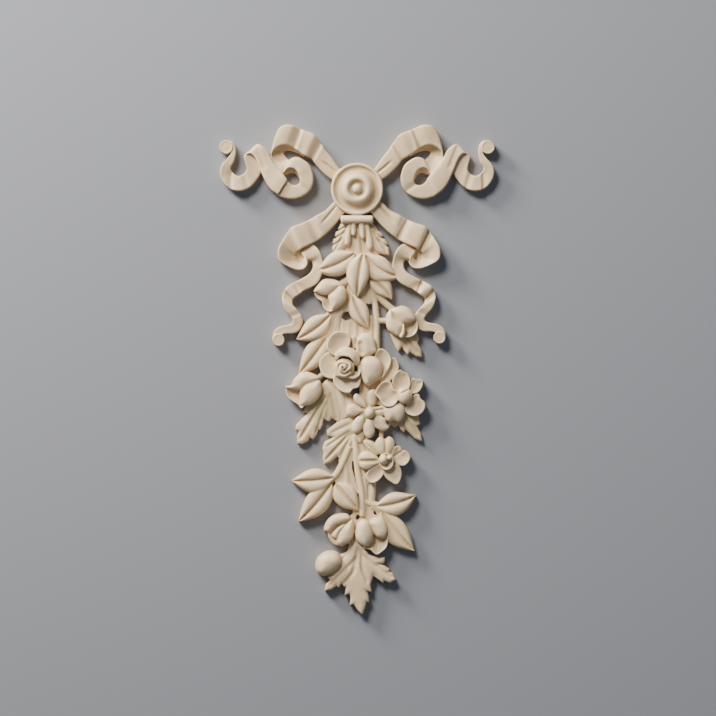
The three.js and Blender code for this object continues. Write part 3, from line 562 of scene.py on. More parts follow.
def rim_distance(x, z, line):
    """Shortest distance from each point to the closed outline."""
    best = np.full(x.shape, 1e9)
    for (ax, az), (bx, bz) in zip(line[:-1], line[1:]):
        dx, dz = bx - ax, bz - az
        t = np.clip(((x - ax) * dx + (z - az) * dz) / (dx * dx + dz * dz + 1e-9), 0, 1)
        best = np.minimum(best, np.hypot(x - ax - t * dx, z - az - t * dz))
    return best


square = closed_line([[0, 0], [10, 0], [10, 10], [0, 10]], 36, False)
print("a 10 mm square outline, once smoothed, is", round(float(np.ptp(square[:, 0])), 2), "mm wide")

# %% [markdown]
# ## The face of a pad
# The distance to the rim is turned into a height in one of three ways. A dome falls off like a
# ball, a cup keeps a thin high rim round a hollow, and any other face is nearly flat with a
# soft edge. The tilt and the grooves are taken off last.

# %% The pad itself
def pad(name, outline, high, face="dome", depth=3.0, tilt=(0, 0), grooves=(), centre=None, sharp=False):
    """A pad inside an outline. A groove has x and z at both ends, its depth and its width."""
    girth = sum(math.dist(a, b) for a, b in zip(outline, outline[1:] + outline[:1]))
    line = closed_line(outline, max(36, int(girth * 1.1)), sharp)
    cx, cz = line[:-1].mean(axis=0) if centre is None else centre
    r = np.sin(np.linspace(0, math.pi / 2, 20))[None, :]
    x = cx + (line[:, :1] - cx) * r
    z = cz + (line[:, 1:] - cz) * r
    rim = rim_distance(x, z, line[::2] if len(line) > 80 and not sharp else line)
    rim[:, -1] = 0
    inward = np.clip(rim / rim.max(), 0, 1)
    if face == "dome":
        height = high - depth * (1 - np.sqrt(1 - (1 - inward) ** 2))
    elif face == "cup":
        height = high - depth * (1 - (1 - inward) ** 2) - rounding(rim, 0.9)
    else:
        height = high - depth * np.exp(-rim / 2.0) - rounding(rim, 0.7)
    height = height + tilt[0] * (x - cx) + tilt[1] * (z - cz)
    for x0, z0, x1, z1, cut_depth, cut_width in grooves:
        along, off, length = line_frame(x, z, x0, z0, x1, z1)
        fade = np.clip(along / 3 + 0.5, 0, 1) * np.clip((length - along) / 3 + 0.5, 0, 1)
        height = height - cut_depth * np.exp(-((off / cut_width) ** 2)) * fade
    return sheet_solid(name, np.stack([x, z, np.clip(height, 1.2, 18.8)], axis=2))


print("a pad is domed, cupped or nearly flat")

# %% [markdown]
# ## Stems
# A stem is a half-round cord that follows a smooth line. A bevelled curve would give a whole
# cord, of which the back half is lost in the wall, so a sheet is laid along the line instead,
# straight on the back plane. Stems join the flowers, and the small gaps between them stay.

# %% Lay the stems
def cord_lanes(line, half, v):
    """Where the lanes v, from -1 to 1, run beside a line at its half-width."""
    way = np.gradient(line, axis=0)
    way /= np.linalg.norm(way, axis=1)[:, None]
    return line[:, :1] - way[:, 1:] * half * v, line[:, 1:] + way[:, :1] * half * v


def stem(name, points, wide=1.0, share=1.0, wide_end=None):
    """A half-round cord. Its widths are shares of the stem's width, its height of the height."""
    width = wide * STEM_WIDTH
    width_end = width if wide_end is None else wide_end * STEM_WIDTH
    count = (len(points) - 1) * 12
    half = np.linspace(width, width_end, count + 1)[:, None] / 2
    v = np.sin(np.linspace(-math.pi / 2, math.pi / 2, 13))[None, :]
    x, z = cord_lanes(smooth_line(points, count), half, v)
    height = np.maximum(1.2, STEM_HEIGHT * share - half * 0.9 * (1 - np.sqrt(1 - v * v)))
    return sheet_solid(name, np.stack(np.broadcast_arrays(x, z, height), axis=2))


STEMS = [
    ([[-14, -80], [-8, -76], [-4, -72]], 1.4, 1.1),
    ([[9, -78], [10.2, -86], [10.6, -95.5]], 0.8, 0.9),
    ([[12.5, -80], [15, -95], [16.2, -112], [16.5, -138]], 1, 1.05),
    ([[11, -105], [12, -120], [11, -140]], 0.88, 0.95),
    ([[15, -86], [22, -93.5], [31, -101]], 1.08, 1),
    ([[17, -109], [22.5, -109.5], [28, -108]], 1, 1),
    ([[-22, -149], [-28, -153.5], [-34, -159]], 0.92, 0.95),
    ([[-6, -214], [-12, -228], [-17, -237], [-23, -243]], 1.12, 1.1),
    ([[-2, -205], [-0.5, -222], [1, -237], [4, -252], [4.5, -272]], 1.08, 1.15),
    ([[6, -234], [7, -250], [7, -266]], 0.84, 0.95),
    ([[10.8, -236], [10.8, -250], [10.5, -263]], 1.4, 0.8),
    ([[6, -259.5], [13, -262.5], [22, -264.5]], 1, 1.05),
    ([[12, -264], [20, -268], [26, -276]], 1, 1),
    ([[20, -195], [20.2, -210]], 0.76, 0.9),
    ([[-15, -307], [-6, -302], [-4, -290]], 1, 1.05),
    ([[-2, -286], [-1, -297], [1, -308]], 1.6, 1.05),
]
for k, spec in enumerate(STEMS):
    parts.append(stem(f"stem_{k}", *spec))
print("stems:", len(STEMS))

# %% [markdown]
# ## The collar and the tie bar
# Below the rosette a short half-round bar ties the drop on. A collar of two scalloped leaves
# and four fingers fans out from under it over the first leaves. The scallops are in the
# outline, and each vein is a groove that ends at a scallop.

# %% Collar and bar
COLLAR_LEAVES = {
    "left": ([[-5, -26], [-9, -26.5], [-13.5, -28.5], [-15.9, -32.6], [-14.6, -34.4], [-17.6, -35.2],
        [-18.6, -38.6], [-16.9, -40.5], [-19.4, -41.2], [-20.3, -44.6], [-18.6, -46.2], [-20.7, -47.6],
        [-20.5, -51], [-17.2, -52.6], [-12, -51.4], [-8, -47], [-6, -40]],
        [[-7, -28, -18, -50.5, 1.2, 0.9], [-15, -34.2, -9, -31, 1.3, 0.7],
        [-17.2, -40.2, -10.5, -35.6, 1.3, 0.7], [-18.8, -46, -12.6, -41.4, 1.3, 0.7]]),
    "right": ([[5, -26], [10, -26.5], [14, -29], [16.9, -32.8], [15.4, -34.5], [19.6, -35.2], [22, -38.6],
        [20, -40.5], [23.6, -41.6], [25.8, -45.6], [24, -47.2], [26.4, -48.8], [27, -54.8], [22, -54.4],
        [17, -52.6], [12.5, -49], [8, -42]], [[9, -28, 24.5, -52.5, 1.2, 0.9],
        [15.8, -34.2, 10.4, -31, 1.3, 0.7], [20.2, -40.2, 13.6, -35.6, 1.3, 0.7],
        [24.2, -47, 17.6, -42.4, 1.3, 0.7]]),
}
COLLAR_FINGERS = [
    ([[-6.5, -26], [-9.6, -36], [-10.8, -43], [-9.8, -46.6], [-7.7, -47.3], [-5.7, -45], [-4.8, -38],
     [-3.8, -26]], 10.6),
    ([[-4.6, -26], [-5, -34], [-4.3, -38.2], [-2.8, -39.2], [-1.2, -37.6], [-0.8, -32], [-0.9, -26]], 11.6),
    ([[1.2, -26], [1.5, -33], [2.6, -39], [4.6, -41.8], [6.5, -40.4], [6.7, -36], [5.4, -26]], 11.6),
    ([[5, -26], [7, -36], [7.3, -44], [8.3, -49], [10.6, -51.2], [12.9, -49.6], [13.6, -45], [11.8, -36],
     [8.4, -26]], 10.6),
]
COLLAR_BED = [[-7, -26], [-15, -35], [-17, -47], [-14, -54], [0, -58], [16, -56], [21, -50], [19, -36],
    [7, -26]]
for hand, (outline, veins) in COLLAR_LEAVES.items():
    parts.append(pad(f"collar_leaf_{hand}", outline, 8.8, "leaf", 1.8, grooves=veins, sharp=True))
for k, (outline, high) in enumerate(COLLAR_FINGERS):
    parts.append(pad(f"collar_finger_{k}", outline, high, "dome", 2.6))
parts.append(stem("collar_spine", [[0, -27], [0.4, -42], [0.8, -57]], 0.5, 1.1, 1.9))
parts.append(pad("collar_bed", COLLAR_BED, 6.2, "flat", 0.6, centre=(1, -40)))


def tie_bar():
    """A half-round bar with rounded ends, drawn as one sheet."""
    e = np.sin(np.linspace(-math.pi / 2, math.pi / 2, 41))[:, None]
    v = np.sin(np.linspace(-math.pi / 2, math.pi / 2, 21))[None, :]
    close = 1 - 0.45 * np.clip((np.abs(e) - 0.9) / 0.1, 0, 1) ** 2
    height = 14 - 3.2 * (1 - np.sqrt(1 - 0.98 * v * v)) - (1 - close) * 4
    grid = np.broadcast_arrays(13.5 * e, -25.3 + 3.2 * close * v, height)
    return sheet_solid("tie_bar", np.stack(grid, axis=2))


parts.append(tie_bar())
print("collar fingers:", len(COLLAR_FINGERS))

# %% [markdown]
# ## Setting out the leaves
# The smooth leaves lie in pairs down the drop, each given by its base, its tip, its two
# half-widths, its bend and its height as a share. Where leaves overlap, the front one is given
# the larger share, so its edge stands over its neighbour as it does on the casting.

# %% Place the smooth leaves
LEAVES = [
    ([-2, -53], [-34, -67.5], 10, 10.5, 2.5, 1.1),
    ([6, -54], [35.5, -73], 10, 10.5, -3.5, 1.1),
    ([5, -53], [0, -90.5], 8.6, 10.4, -1, 1.4),
    ([9, -74], [29, -91.5], 8.5, 7.5, 2, 0.9),
    ([-4, -88], [10, -116], 8.2, 8, -1.2, 1),
    ([-22, -104], [-50.5, -124.8], 9, 9.8, 2.3, 1),
    ([-24, -121], [-48.5, -153.5], 10, 9.4, 1, 0.9),
    ([-19, -239.5], [-54.3, -242.5], 10.8, 9.5, 1, 0.95),
    ([-21, -244], [-48.8, -276.5], 10, 10, 1.5, 0.9),
    ([-18, -245], [2, -267.5], 9.2, 10, 0, 1, 0.4),
    ([16, -263.5], [48.8, -254.5], 9.2, 10.4, -2, 0.9),
    ([20, -268], [47.8, -301], 9.4, 11.4, -1, 0.85),
]
for k, spec in enumerate(LEAVES):
    parts.append(leaf(f"leaf_{k}", *spec))
print("smooth leaves:", len(LEAVES))

# %% [markdown]
# ## Cut leaves
# The cut leaves have a ragged outline with deep teeth, so they are pads with sharp corners.
# Each has a middle point for its sheet, its outline, and veins. A vein could be a curve sunk in
# by a boolean. Here it is a groove in the heights, from the stalk out to a point of the leaf.

# %% Cut leaves
CUT_LEAVES = {
    "under_left_bud": (
        6.9,
        (-26, -180),
        [[-24, -157], [-38, -170], [-44, -183], [-45.5, -185.6], [-41, -186.2], [-46, -191], [-50.8, -196],
         [-51.3, -200], [-48.3, -201.5], [-50, -206], [-49.8, -211.5], [-45.5, -212.3], [-40.5, -209.5],
         [-39.3, -206.6], [-36.3, -208.3], [-34, -205], [-33.3, -199.6], [-30.8, -200.4], [-28.6, -196.5],
         [-28, -191], [-23.5, -193.4], [-21, -190.6], [-13.6, -195], [-12, -186], [-14, -172],
         [-18, -160]],
        [[-26, -172, -47, -207, 1.8, 1.2], [-27, -168, -46, -193, 0.8, 1.4],
         [-26, -178, -34, -203, 1.1, 1.2], [-24, -172, -25, -191, 1.1, 1.2],
         [-22, -170, -17, -191, 1.1, 1.2], [-30, -170, -42, -184, 0.9, 1.4]],
    ),
    "below_daisy": (
        7.2,
        (-8, -204),
        [[-2, -188], [-9, -189], [-17, -194], [-25.2, -200.5], [-24.8, -204.8], [-20, -206.5], [-27, -210],
         [-28.9, -215.5], [-27.8, -219], [-28.6, -224], [-27.3, -228.8], [-22, -227], [-16.5, -222.5],
         [-13.5, -225.5], [-9.5, -221], [-3, -212], [1, -200]],
        [[-5, -195, -22, -203, 0.9, 1.5], [-6, -203, -26, -225, 1.6, 1.2], [-6, -201, -25, -214, 0.9, 1.2],
         [-4, -203, -14, -222, 0.9, 1.2]],
    ),
    "right_of_flower": (
        6.8,
        (36, -186),
        [[31, -180], [46, -182], [51, -188], [52.6, -195.6], [49.6, -197], [53, -203], [54.2, -210],
         [48, -207.5], [42.5, -202], [40.6, -199.6], [39, -202.4], [36.5, -200.4], [34.5, -196],
         [31.5, -198.2], [28.5, -195.8], [26.3, -198.8], [23, -195], [25, -187]],
        [[38, -186, 51, -205, 1.4, 1.2], [36, -186, 40, -200, 0.8, 1.2], [42, -185, 50, -195, 0.8, 1.2]],
    ),
    "below_right_bud": (
        6.6,
        (36, -118),
        [[26, -110], [45, -110], [49.5, -119], [51.5, -124], [50.3, -128], [53.4, -133], [54.2, -139.8],
         [49, -139], [44.5, -135.5], [42, -137.8], [39, -134], [37.6, -131], [34.4, -135.2], [31.8, -131],
         [28, -122]],
        [[36, -118, 51, -136, 1.4, 1.2], [34, -118, 41, -134, 0.8, 1.2], [40, -116, 50, -127, 0.8, 1.2]],
    ),
    "bottom": (
        9.0,
        (1.5, -311),
        [[-2, -293], [-5, -300], [-11, -306.5], [-18, -315.5], [-24.6, -322.8], [-22.4, -325.2],
         [-26, -328.5], [-27, -334.2], [-21, -333], [-17.6, -328.8], [-15.6, -331.8], [-12.2, -327.8],
         [-10.8, -331], [-9.2, -330.2], [-10.2, -337.6], [-6.2, -336.8], [-5.4, -339], [-6, -345.8],
         [-2.4, -345.4], [0.6, -350.4], [4.4, -354], [6.8, -348], [8, -343], [10, -344], [9.6, -338.4],
         [8, -334.2], [12.2, -335.2], [11.2, -329], [12.6, -325], [14, -320.6], [18, -324.8], [21.8, -328],
         [22.4, -325.6], [27.5, -327.6], [32.4, -324.8], [29.6, -319.4], [26.6, -318], [27, -315.8],
         [22, -312.6], [18.4, -311.8], [22.8, -311], [23.2, -306.2], [17.6, -306.6], [10, -304],
         [5, -297]],
        [[1, -298, -3, -318, 1.4, 1.8], [-3, -318, -10.5, -328, 1.4, 1.5],
         [3.2, -300, 4.2, -316, 1.3, 1.5], [4.2, -316, 8.8, -327, 1.4, 1.4],
         [0, -306, -23, -330, 0.9, 1.5], [4, -304, 29, -323, 0.9, 1.5]],
    ),
}
for label, (high, centre, outline, veins) in CUT_LEAVES.items():
    name = f"cut_leaf_{label}"
    parts.append(pad(name, outline, high, "leaf", 1.6, grooves=veins, centre=centre, sharp=True))
print("cut leaves:", len(CUT_LEAVES))

# %% [markdown]
# ## Flowers
# A flower is a ring of petals round a centre. No two petals of a carved flower are alike, so
# each is a pad with its own outline. A cupped petal is hollow inside a thin rim and a domed one
# is full. The last pair of numbers tilts a petal, so that one side lies under its neighbour.

# %% Petals of the ball flower, the daisy and the cup flower
FLOWERS = {
    "ball_flower": [
        ([[31, -166.4], [29.4, -161.6], [30, -156.4], [32.7, -152.3], [36.2, -150.2], [38.2, -151.8],
         [41.6, -153], [43.7, -156.6], [44.4, -161], [43.6, -165], [40, -168], [34.5, -168.6]], 12.2,
         "cup", 2.6, (-0.05, 0.03)),
        ([[43.4, -162], [46.6, -157], [50.2, -158.3], [54.3, -158.6], [54.6, -163], [51.5, -168.3],
         [46.9, -170.2], [42, -169]], 10.4, "cup", 1.6),
        ([[42.4, -175.4], [47, -171.4], [51.3, -170.5], [52.5, -173.8], [56, -177], [56.6, -181],
         [54.2, -185.6], [49.4, -188.5], [44.4, -188], [40, -184.6]], 11.2, "cup", 1.9, (0.03, -0.05)),
        ([[22.2, -181], [27.3, -179.6], [33.2, -176.8], [39, -179], [40.4, -184.5], [38.6, -190.3],
         [35.1, -193.8], [29.9, -192.5], [26.4, -193.4], [23, -189]], 14.2, "dome", 5.0),
        ([[15.2, -170.1], [17.3, -164.2], [22.5, -159.8], [28, -160.6], [30.5, -166], [34.2, -168.7],
         [34.2, -174.6], [30.6, -179.6], [24.7, -180.8], [20.4, -178.3], [18.9, -175]], 14.4, "cup", 3.4,
         (-0.02, -0.02)),
    ],
    "daisy": [
        ([[-3, -172], [-0.6, -169.8], [3.1, -172.3], [7.2, -177], [8.6, -182.5], [4.6, -181.8],
         [0.2, -179], [-2.4, -175.6]], 11.6, "dome", 2.4, (-0.05, 0.06)),
        ([[8.1, -173.3], [9.6, -168], [13.8, -166.2], [16.3, -168], [16.4, -173.3], [14.2, -180.5],
         [10.3, -180.5]], 10.8, "dome", 2.0, (0, 0.05)),
        ([[-8.9, -183.8], [-7.2, -179.7], [-2.8, -178.6], [1.9, -181], [6, -184.6], [1.1, -187.4],
         [-4.8, -189], [-8.3, -187.3]], 11.6, "dome", 2.4, (-0.07, 0)),
        ([[-4.3, -196.9], [-3, -193], [1.1, -188.6], [6, -188.8], [5.9, -195.6], [3.1, -201], [-0.9, -203],
         [-3.7, -201]], 11.8, "dome", 2.6),
        ([[4.8, -198.8], [6.1, -194.3], [9.6, -190.8], [13.5, -191.4], [14.7, -198.2], [14.4, -203.6],
         [10.9, -207], [7.4, -205.6]], 11.8, "dome", 2.6),
        ([[14, -190.4], [18.8, -188.6], [23.5, -190.8], [24.8, -195.4], [26.8, -198.2], [23.3, -200.8],
         [17.5, -199.7], [14.4, -197]], 11.6, "dome", 2.4),
        ([[13.8, -181.4], [18, -180.8], [22, -179.6], [24, -183], [22.9, -187.9], [16.8, -188]], 10.2,
         "dome", 1.4),
    ],
    "cup_flower": [
        ([[14.6, -212.5], [16.8, -207.6], [19.6, -205.8], [23.4, -207.8], [26.4, -205.6], [29.8, -207.3],
         [31.5, -211.3], [30.6, -216], [27.4, -219.8], [23.5, -220.8], [18, -220]], 11.6, "dome", 2.4),
        ([[29.6, -217], [32, -213.8], [35.6, -213.8], [37.6, -217], [40.9, -217.6], [44.3, -222.1],
         [42.8, -226.8], [39.2, -229.8], [35.3, -229.6], [30.6, -227.6], [28.6, -222]], 10.6, "cup", 1.8),
        ([[28.6, -229], [34.8, -230.2], [36.9, -234.8], [36, -241.7], [32.8, -245.4], [27.4, -242.8],
         [23.5, -239.4], [22.2, -233]], 11.0, "cup", 1.6),
        ([[23, -234], [19.8, -240.2], [15.6, -243.4], [11.2, -244.2], [8.1, -240.9], [7.8, -236.3],
         [12.2, -232.2], [19.5, -229]], 11.0, "cup", 1.6),
        ([[1.5, -222.5], [3.4, -219.4], [8.3, -218], [12.7, -219.7], [18, -223.6], [18.6, -228],
         [14.7, -230.8], [9.3, -233.4], [4.1, -232.2], [1.9, -228.4]], 13.0, "dome", 3.4),
        ([[5.2, -209.4], [9, -208.2], [15, -211], [19, -218], [16.6, -221.4], [9.5, -216.4]], 10.2, "dome",
         2.4),
    ],
}
GROOVES = {
    "cup_flower_0": [(23.4, -206, 23.8, -219, 1.2, 1.1)],
    "cup_flower_1": [(38.2, -217, 30, -223, 0.8, 0.9)],
    "cup_flower_4": [(2, -226, 17, -225.6, 2.0, 1.4)],
    "cup_flower_5": [(6, -209.5, 17, -220, 0.9, 0.8)],
    "daisy_6": [(13, -184.4, 23, -182.6, 1.4, 0.8)],
}
for flower, petals in FLOWERS.items():
    for k, petal in enumerate(petals):
        name = f"{flower}_{k}"
        parts.append(pad(name, *petal, grooves=GROOVES.get(name, ())))
print("petals drawn by outline:", sum(map(len, FLOWERS.values())))

# %% [markdown]
# ## Centres of the flowers
# The ball flower's centre is a bud with two creases. The daisy has a round boss on a low bed
# that its petals grow from. The cup flower has a hollow cup with two beads in it.

# %% The flowers' centres
BALL_CENTRE = [[33.4, -169], [35.5, -165.8], [40, -165.2], [44.2, -167], [46, -171], [44.8, -175.4],
    [41, -178.6], [37, -178.4], [33.6, -175]]
BALL_CREASES = [(36.5, -169.6, 43.6, -166.4, 1.7, 0.6), (43.8, -167, 44.4, -172, 0.9, 0.5)]
CUP = [[18.2, -226], [19.6, -221.6], [24, -219.6], [28.6, -221], [30.4, -226], [28.6, -231], [24, -233.2],
    [19.8, -231]]
SEPAL = [[-3, -202], [-1, -207], [2.6, -211.6], [5.6, -208], [6.6, -203], [3, -199]]
parts.append(pad("ball_flower_centre", BALL_CENTRE, 17.2, "dome", 5.6, grooves=BALL_CREASES))
parts.append(boss("daisy_bed", (9.8, -186.4), 7.6, 7.2, 9.6, 8.4))
parts.append(pad("daisy_sepal", SEPAL, 8.6, "dome", 2.0))
parts.append(boss("daisy_centre", (10.5, -186), 4.3, 4.9, 15.2, 9.6))
parts.append(pad("cup_flower_centre", CUP, 14.2, "cup", 4.6))
parts.append(boss("cup_flower_bead", (22.2, -224.6), 3.9, 4.6, 16.4, 9.6))
parts.append(boss("cup_flower_bead_small", (27, -223.2), 3.0, 2.9, 15.2, 9.6))
print("parts so far:", len(parts))

# %% [markdown]
# ## The rose
# The rose is the tallest form. Seven loose petals lie round it, an arched petal bends over
# its heart and a lip closes it below. The outer petals come first, most of them cupped and
# tilted down at their outer side, so that they seem to open.

# %% The rose's outer petals
ROSE_PETALS = [
    ([[-24.9, -129.5], [-22.3, -122.4], [-17.3, -118.8], [-10.4, -118.8], [-5.8, -122.4], [-5.6, -128],
     [-9, -134], [-16, -139], [-21.6, -137], [-24.8, -133]], 13.4, "cup", 2.0, (-0.09, 0.06)),
    ([[0.2, -124.4], [4.6, -120], [9.9, -120.2], [14.1, -124.5], [15.3, -130.2], [16.2, -135],
     [11.8, -138], [6.2, -140], [1.2, -139], [-1, -133], [-0.6, -128]], 13.6, "dome", 3.0, (0.03, 0)),
    ([[-31, -142.6], [-27.8, -138.2], [-24.2, -136], [-17, -137], [-15, -147], [-17, -157],
     [-21.4, -157.6], [-27.8, -155.4], [-30.8, -149.6]], 10.4, "cup", 0.9),
    ([[-19.8, -159.2], [-17, -152], [0, -152], [3.2, -156.5], [2.8, -161], [0.9, -164.8], [-3.2, -166],
     [-6.2, -169.2], [-11.9, -168.6], [-17.6, -164.3]], 12.0, "cup", 1.7, (0, -0.06)),
    ([[2.4, -145.4], [4, -141.6], [9, -138.8], [14.6, -139.1], [19.8, -143], [21.5, -148.2], [20.4, -154],
     [17.5, -158.8], [13.3, -161], [10.4, -163.6], [6.6, -162.3], [3.9, -157.2], [2, -150.9]], 16.6,
     "dome", 6.2),
    ([[14.6, -140], [17, -134.2], [20.7, -132.6], [25.2, -135.4], [28.2, -140.6], [27.6, -146],
     [24.4, -152], [20.4, -157], [17, -150]], 11.6, "cup", 2.4),
    ([[22, -150], [27.2, -142.4], [31.1, -140], [34, -144], [34.7, -149], [31.4, -154], [27.2, -159.5],
     [21, -161.5], [18, -158]], 9.4, "cup", 1.6),
]
ROSE_GROOVES = {1: [(2.4, -127, 4.6, -137, 2.2, 2.2)], 4: [(9.4, -156, 11.2, -163, 0.6, 1.0)]}
for k, petal in enumerate(ROSE_PETALS):
    parts.append(pad(f"rose_petal_{k}", *petal, grooves=ROSE_GROOVES.get(k, ())))
parts.append(stem("rose_thread", [[-3.6, -123], [-2.6, -127], [-1.8, -132]], 0.64, 1.5))
print("rose petals:", len(ROSE_PETALS))

# %% [markdown]
# ## The rose's heart
# The arch and the lip are short ribbons. The heart between them is a ridge that winds inwards
# and climbs, like the rolled petals of a real bud. Its radius and its height are wavy, so that
# it doesn't look like a machined spiral.

# %% The rose's heart
ROSE = (-10.4, -148.6)
HEART_STRIPS = {
    "arch": [[-18.6, -141.5, -16.0, -142.2, 1.25, 1.3], [-17.6, -136.6, -14.4, -139.6, 1.45, 1.5],
        [-13.8, -132.8, -10.4, -138.9, 1.5, 1.72], [-7.6, -131.6, -6.2, -140.0, 1.5, 1.78],
        [-2.1, -133.5, -3.2, -143.2, 1.45, 1.72], [1.8, -138.5, -2.2, -146.4, 1.4, 1.5],
        [2.6, -144.7, 0.2, -147.4, 1.3, 1.3]],
    "lip": [[0.4, -144.5, -0.9, -146.6, 1.2, 1.1], [3.2, -148.2, 0.6, -149.4, 1.45, 1.2],
        [2.4, -154.2, 0.0, -152.8, 1.5, 1.2], [-2.1, -157.6, -3.2, -154.6, 1.5, 1.25],
        [-7, -157.2, -7.2, -154.4, 1.5, 1.3], [-12, -156.4, -11.4, -153.6, 1.5, 1.3],
        [-17, -155.2, -15, -151.8, 1.45, 1.3], [-19, -150, -16.4, -149, 1.4, 1.3],
        [-18.8, -145, -16.2, -146.2, 1.3, 1.3]],
}
for label, stations in HEART_STRIPS.items():
    parts.append(ribbon(f"rose_{label}", "curl", stations, {}))
parts.append(boss("rose_core", ROSE, 8.2, 8.0, 15.6, 12.8))


def rose_coil(turns=2.15, width=2.3):
    """The heart's ridge, from its outer end in to the middle."""
    t = np.linspace(0, 1, 171)
    a = -0.6 - 2 * math.pi * turns * t
    r = 7.5 * (1 - 0.9 * t) * (1 + 0.13 * np.sin(3 * a + 0.6))
    line = np.stack([ROSE[0] - 0.8 * t + r * np.cos(a), ROSE[1] + 0.4 * t + 0.9 * r * np.sin(a)], axis=1)
    v = np.linspace(-1, 1, 9)[None, :]
    x, z = cord_lanes(line, width / 2, v)
    height = 16.2 + (2.3 * t + 0.4 * np.sin(2.6 * a))[:, None] - 0.9 * v * v - 0.35 * v
    return sheet_solid("rose_coil", np.stack(np.broadcast_arrays(x, z, height), axis=2))


parts.append(rose_coil())
print("parts so far:", len(parts))

# %% [markdown]
# ## Buds and the berry
# A bud is three or four full petals folded over each other, and the lowest one is cupped to
# give it a hollow mouth. Each petal is a pad again. They overlap on purpose: the fusing step
# further down turns the overlap into a clean crease. The berry is one full pad.

# %% Buds and berry
BUD_PADS = {
    "bud_high_left": [
        ([[-35.3, -86.5], [-32.9, -91], [-29.1, -93.4], [-28.6, -97.2], [-25.7, -101], [-22.2, -101.9],
         [-17, -98], [-16, -88], [-24, -82], [-32, -84]], 10.2, "cup", 3.4, (-0.05, -0.1)),
        ([[-36, -85.4], [-31.3, -78.2], [-27.5, -75], [-21.3, -74.9], [-15.4, -76.5], [-12, -80],
         [-19.5, -85.4], [-24, -88], [-28.4, -88], [-33, -86.4]], 13.2, "dome", 3.6),
        ([[-24, -88.7], [-19.8, -84.8], [-14.6, -79.4], [-10.2, -81.8], [-8.4, -87.4], [-10.3, -93.8],
         [-15.9, -98.4], [-20.9, -100.2], [-22.1, -96.3], [-23.7, -91.8]], 14.0, "dome", 4.4),
    ],
    "bud_low_left": [
        ([[-59, -166], [-57.4, -172.7], [-53.2, -176.3], [-49, -179.3], [-46.5, -182.2], [-43, -179],
         [-42, -168], [-48, -163], [-56, -163.5]], 10.0, "cup", 4.0, (-0.06, -0.1)),
        ([[-60, -164.4], [-54.6, -162.6], [-52.7, -158.1], [-47.3, -153.1], [-41.2, -151.9],
         [-35.7, -153.6], [-31, -156.8], [-35.9, -161.4], [-42.4, -164], [-46.5, -167], [-50.5, -166.6],
         [-55.6, -166]], 13.2, "dome", 4.2),
        ([[-36.4, -159.6], [-42.6, -162], [-46.2, -165.8], [-47.6, -170.1], [-47.6, -173.8],
         [-46.2, -179.4], [-38.8, -179], [-32.7, -174.5], [-29.6, -168.3], [-29.6, -163.3], [-31, -159]],
         14.6, "dome", 4.6),
    ],
    "bud_right": [
        ([[37.5, -111], [48.4, -107.5], [50.6, -114.1], [48.6, -119.8], [43.8, -123], [38.4, -122.6],
         [36.5, -117]], 10.4, "cup", 4.2, (0.05, -0.12)),
        ([[29, -100], [33.8, -97.8], [38.4, -97], [44, -99.5], [48.1, -105], [48.8, -108.4],
         [42.9, -111.2], [37.3, -112.4], [32.4, -108], [29.4, -103.5]], 13.4, "dome", 4.0),
        ([[23.8, -109.7], [24.2, -105], [28.2, -100.1], [31.8, -105.8], [38.6, -111.6], [39.3, -114.1],
         [37, -119.6], [34.9, -122.5], [30.2, -120.6], [25.6, -117]], 14.2, "dome", 4.4),
        ([[38.6, -112], [39.7, -116], [39.3, -121.2], [37.5, -124.2], [35.1, -122.4], [37, -118.4]], 14.4,
         "dome", 2.0),
    ],
    "bud_bottom_left": [
        ([[-26.6, -284], [-24.6, -276.5], [-19.9, -272], [-14, -271], [-7, -272], [-4, -279], [-4, -286.2],
         [-7, -292], [-14, -296.2], [-19.3, -294.9], [-23.5, -289.8], [-24.8, -285.6]], 10.4, "cup", 1.2),
        ([[-27.4, -283.7], [-25.2, -275.8], [-19.9, -271.1], [-14, -269.6], [-7.8, -270.2], [-5, -274],
         [-9.7, -277.2], [-17.4, -280.2], [-22.7, -285.4]], 13.2, "dome", 3.8),
        ([[-21.4, -288], [-17.8, -282.4], [-10.5, -278], [-9.6, -279.6], [-13.6, -284.4], [-16.9, -291]],
         12.6, "dome", 2.8),
        ([[-8.6, -277.4], [-4.2, -274.4], [-2.3, -279.4], [-2.4, -286.2], [-4.2, -291.5], [-8, -294.7],
         [-13.4, -296.6], [-17, -294], [-16.6, -288.6], [-13.4, -282.4]], 13.8, "dome", 4.2),
    ],
    "bud_bottom_right": [
        ([[11, -284], [18, -287], [25, -284], [26.1, -289.6], [25.3, -294.7], [24.4, -297.5], [20.9, -301],
         [16.6, -303.6], [13, -301.8], [11.8, -300], [5, -297.6], [9, -290]], 10.2, "cup", 4.0,
         (0.02, -0.12)),
        ([[10, -277.2], [15.5, -273], [21, -273.9], [24.6, -279.2], [25.5, -285.4], [22.5, -289.8],
         [17.2, -289.6], [13.6, -286], [11.4, -280.6]], 13.6, "dome", 4.2),
        ([[-1.6, -285.4], [0.1, -278.4], [4.7, -274.3], [9.2, -275.5], [12.8, -281], [13.7, -287.9],
         [11.1, -294.2], [7.3, -297.3], [2, -294.4], [-1.2, -289.8]], 15.6, "dome", 6.0),
    ],
    "berry": [
        ([[-34.8, -312.6], [-33, -306.4], [-27.8, -302], [-22.5, -300.6], [-16.4, -301.9], [-12.7, -306.4],
         [-12.6, -311.8], [-16.3, -316.4], [-22.5, -320.6], [-29.6, -321.2], [-33.6, -318]], BERRY_HEIGHT,
         "dome", 8.4),
    ],
}
for label, pads in BUD_PADS.items():
    for k, petal in enumerate(pads):
        parts.append(pad(f"{label}_{k}", *petal))
print("bud pads:", sum(map(len, BUD_PADS.values())))

# %% [markdown]
# ## Bundled stems
# Behind the leaves the stems run in bundles, which show as soft ribs on the low ground. They
# are cords like the other stems, only wider and close together, so that they blend.

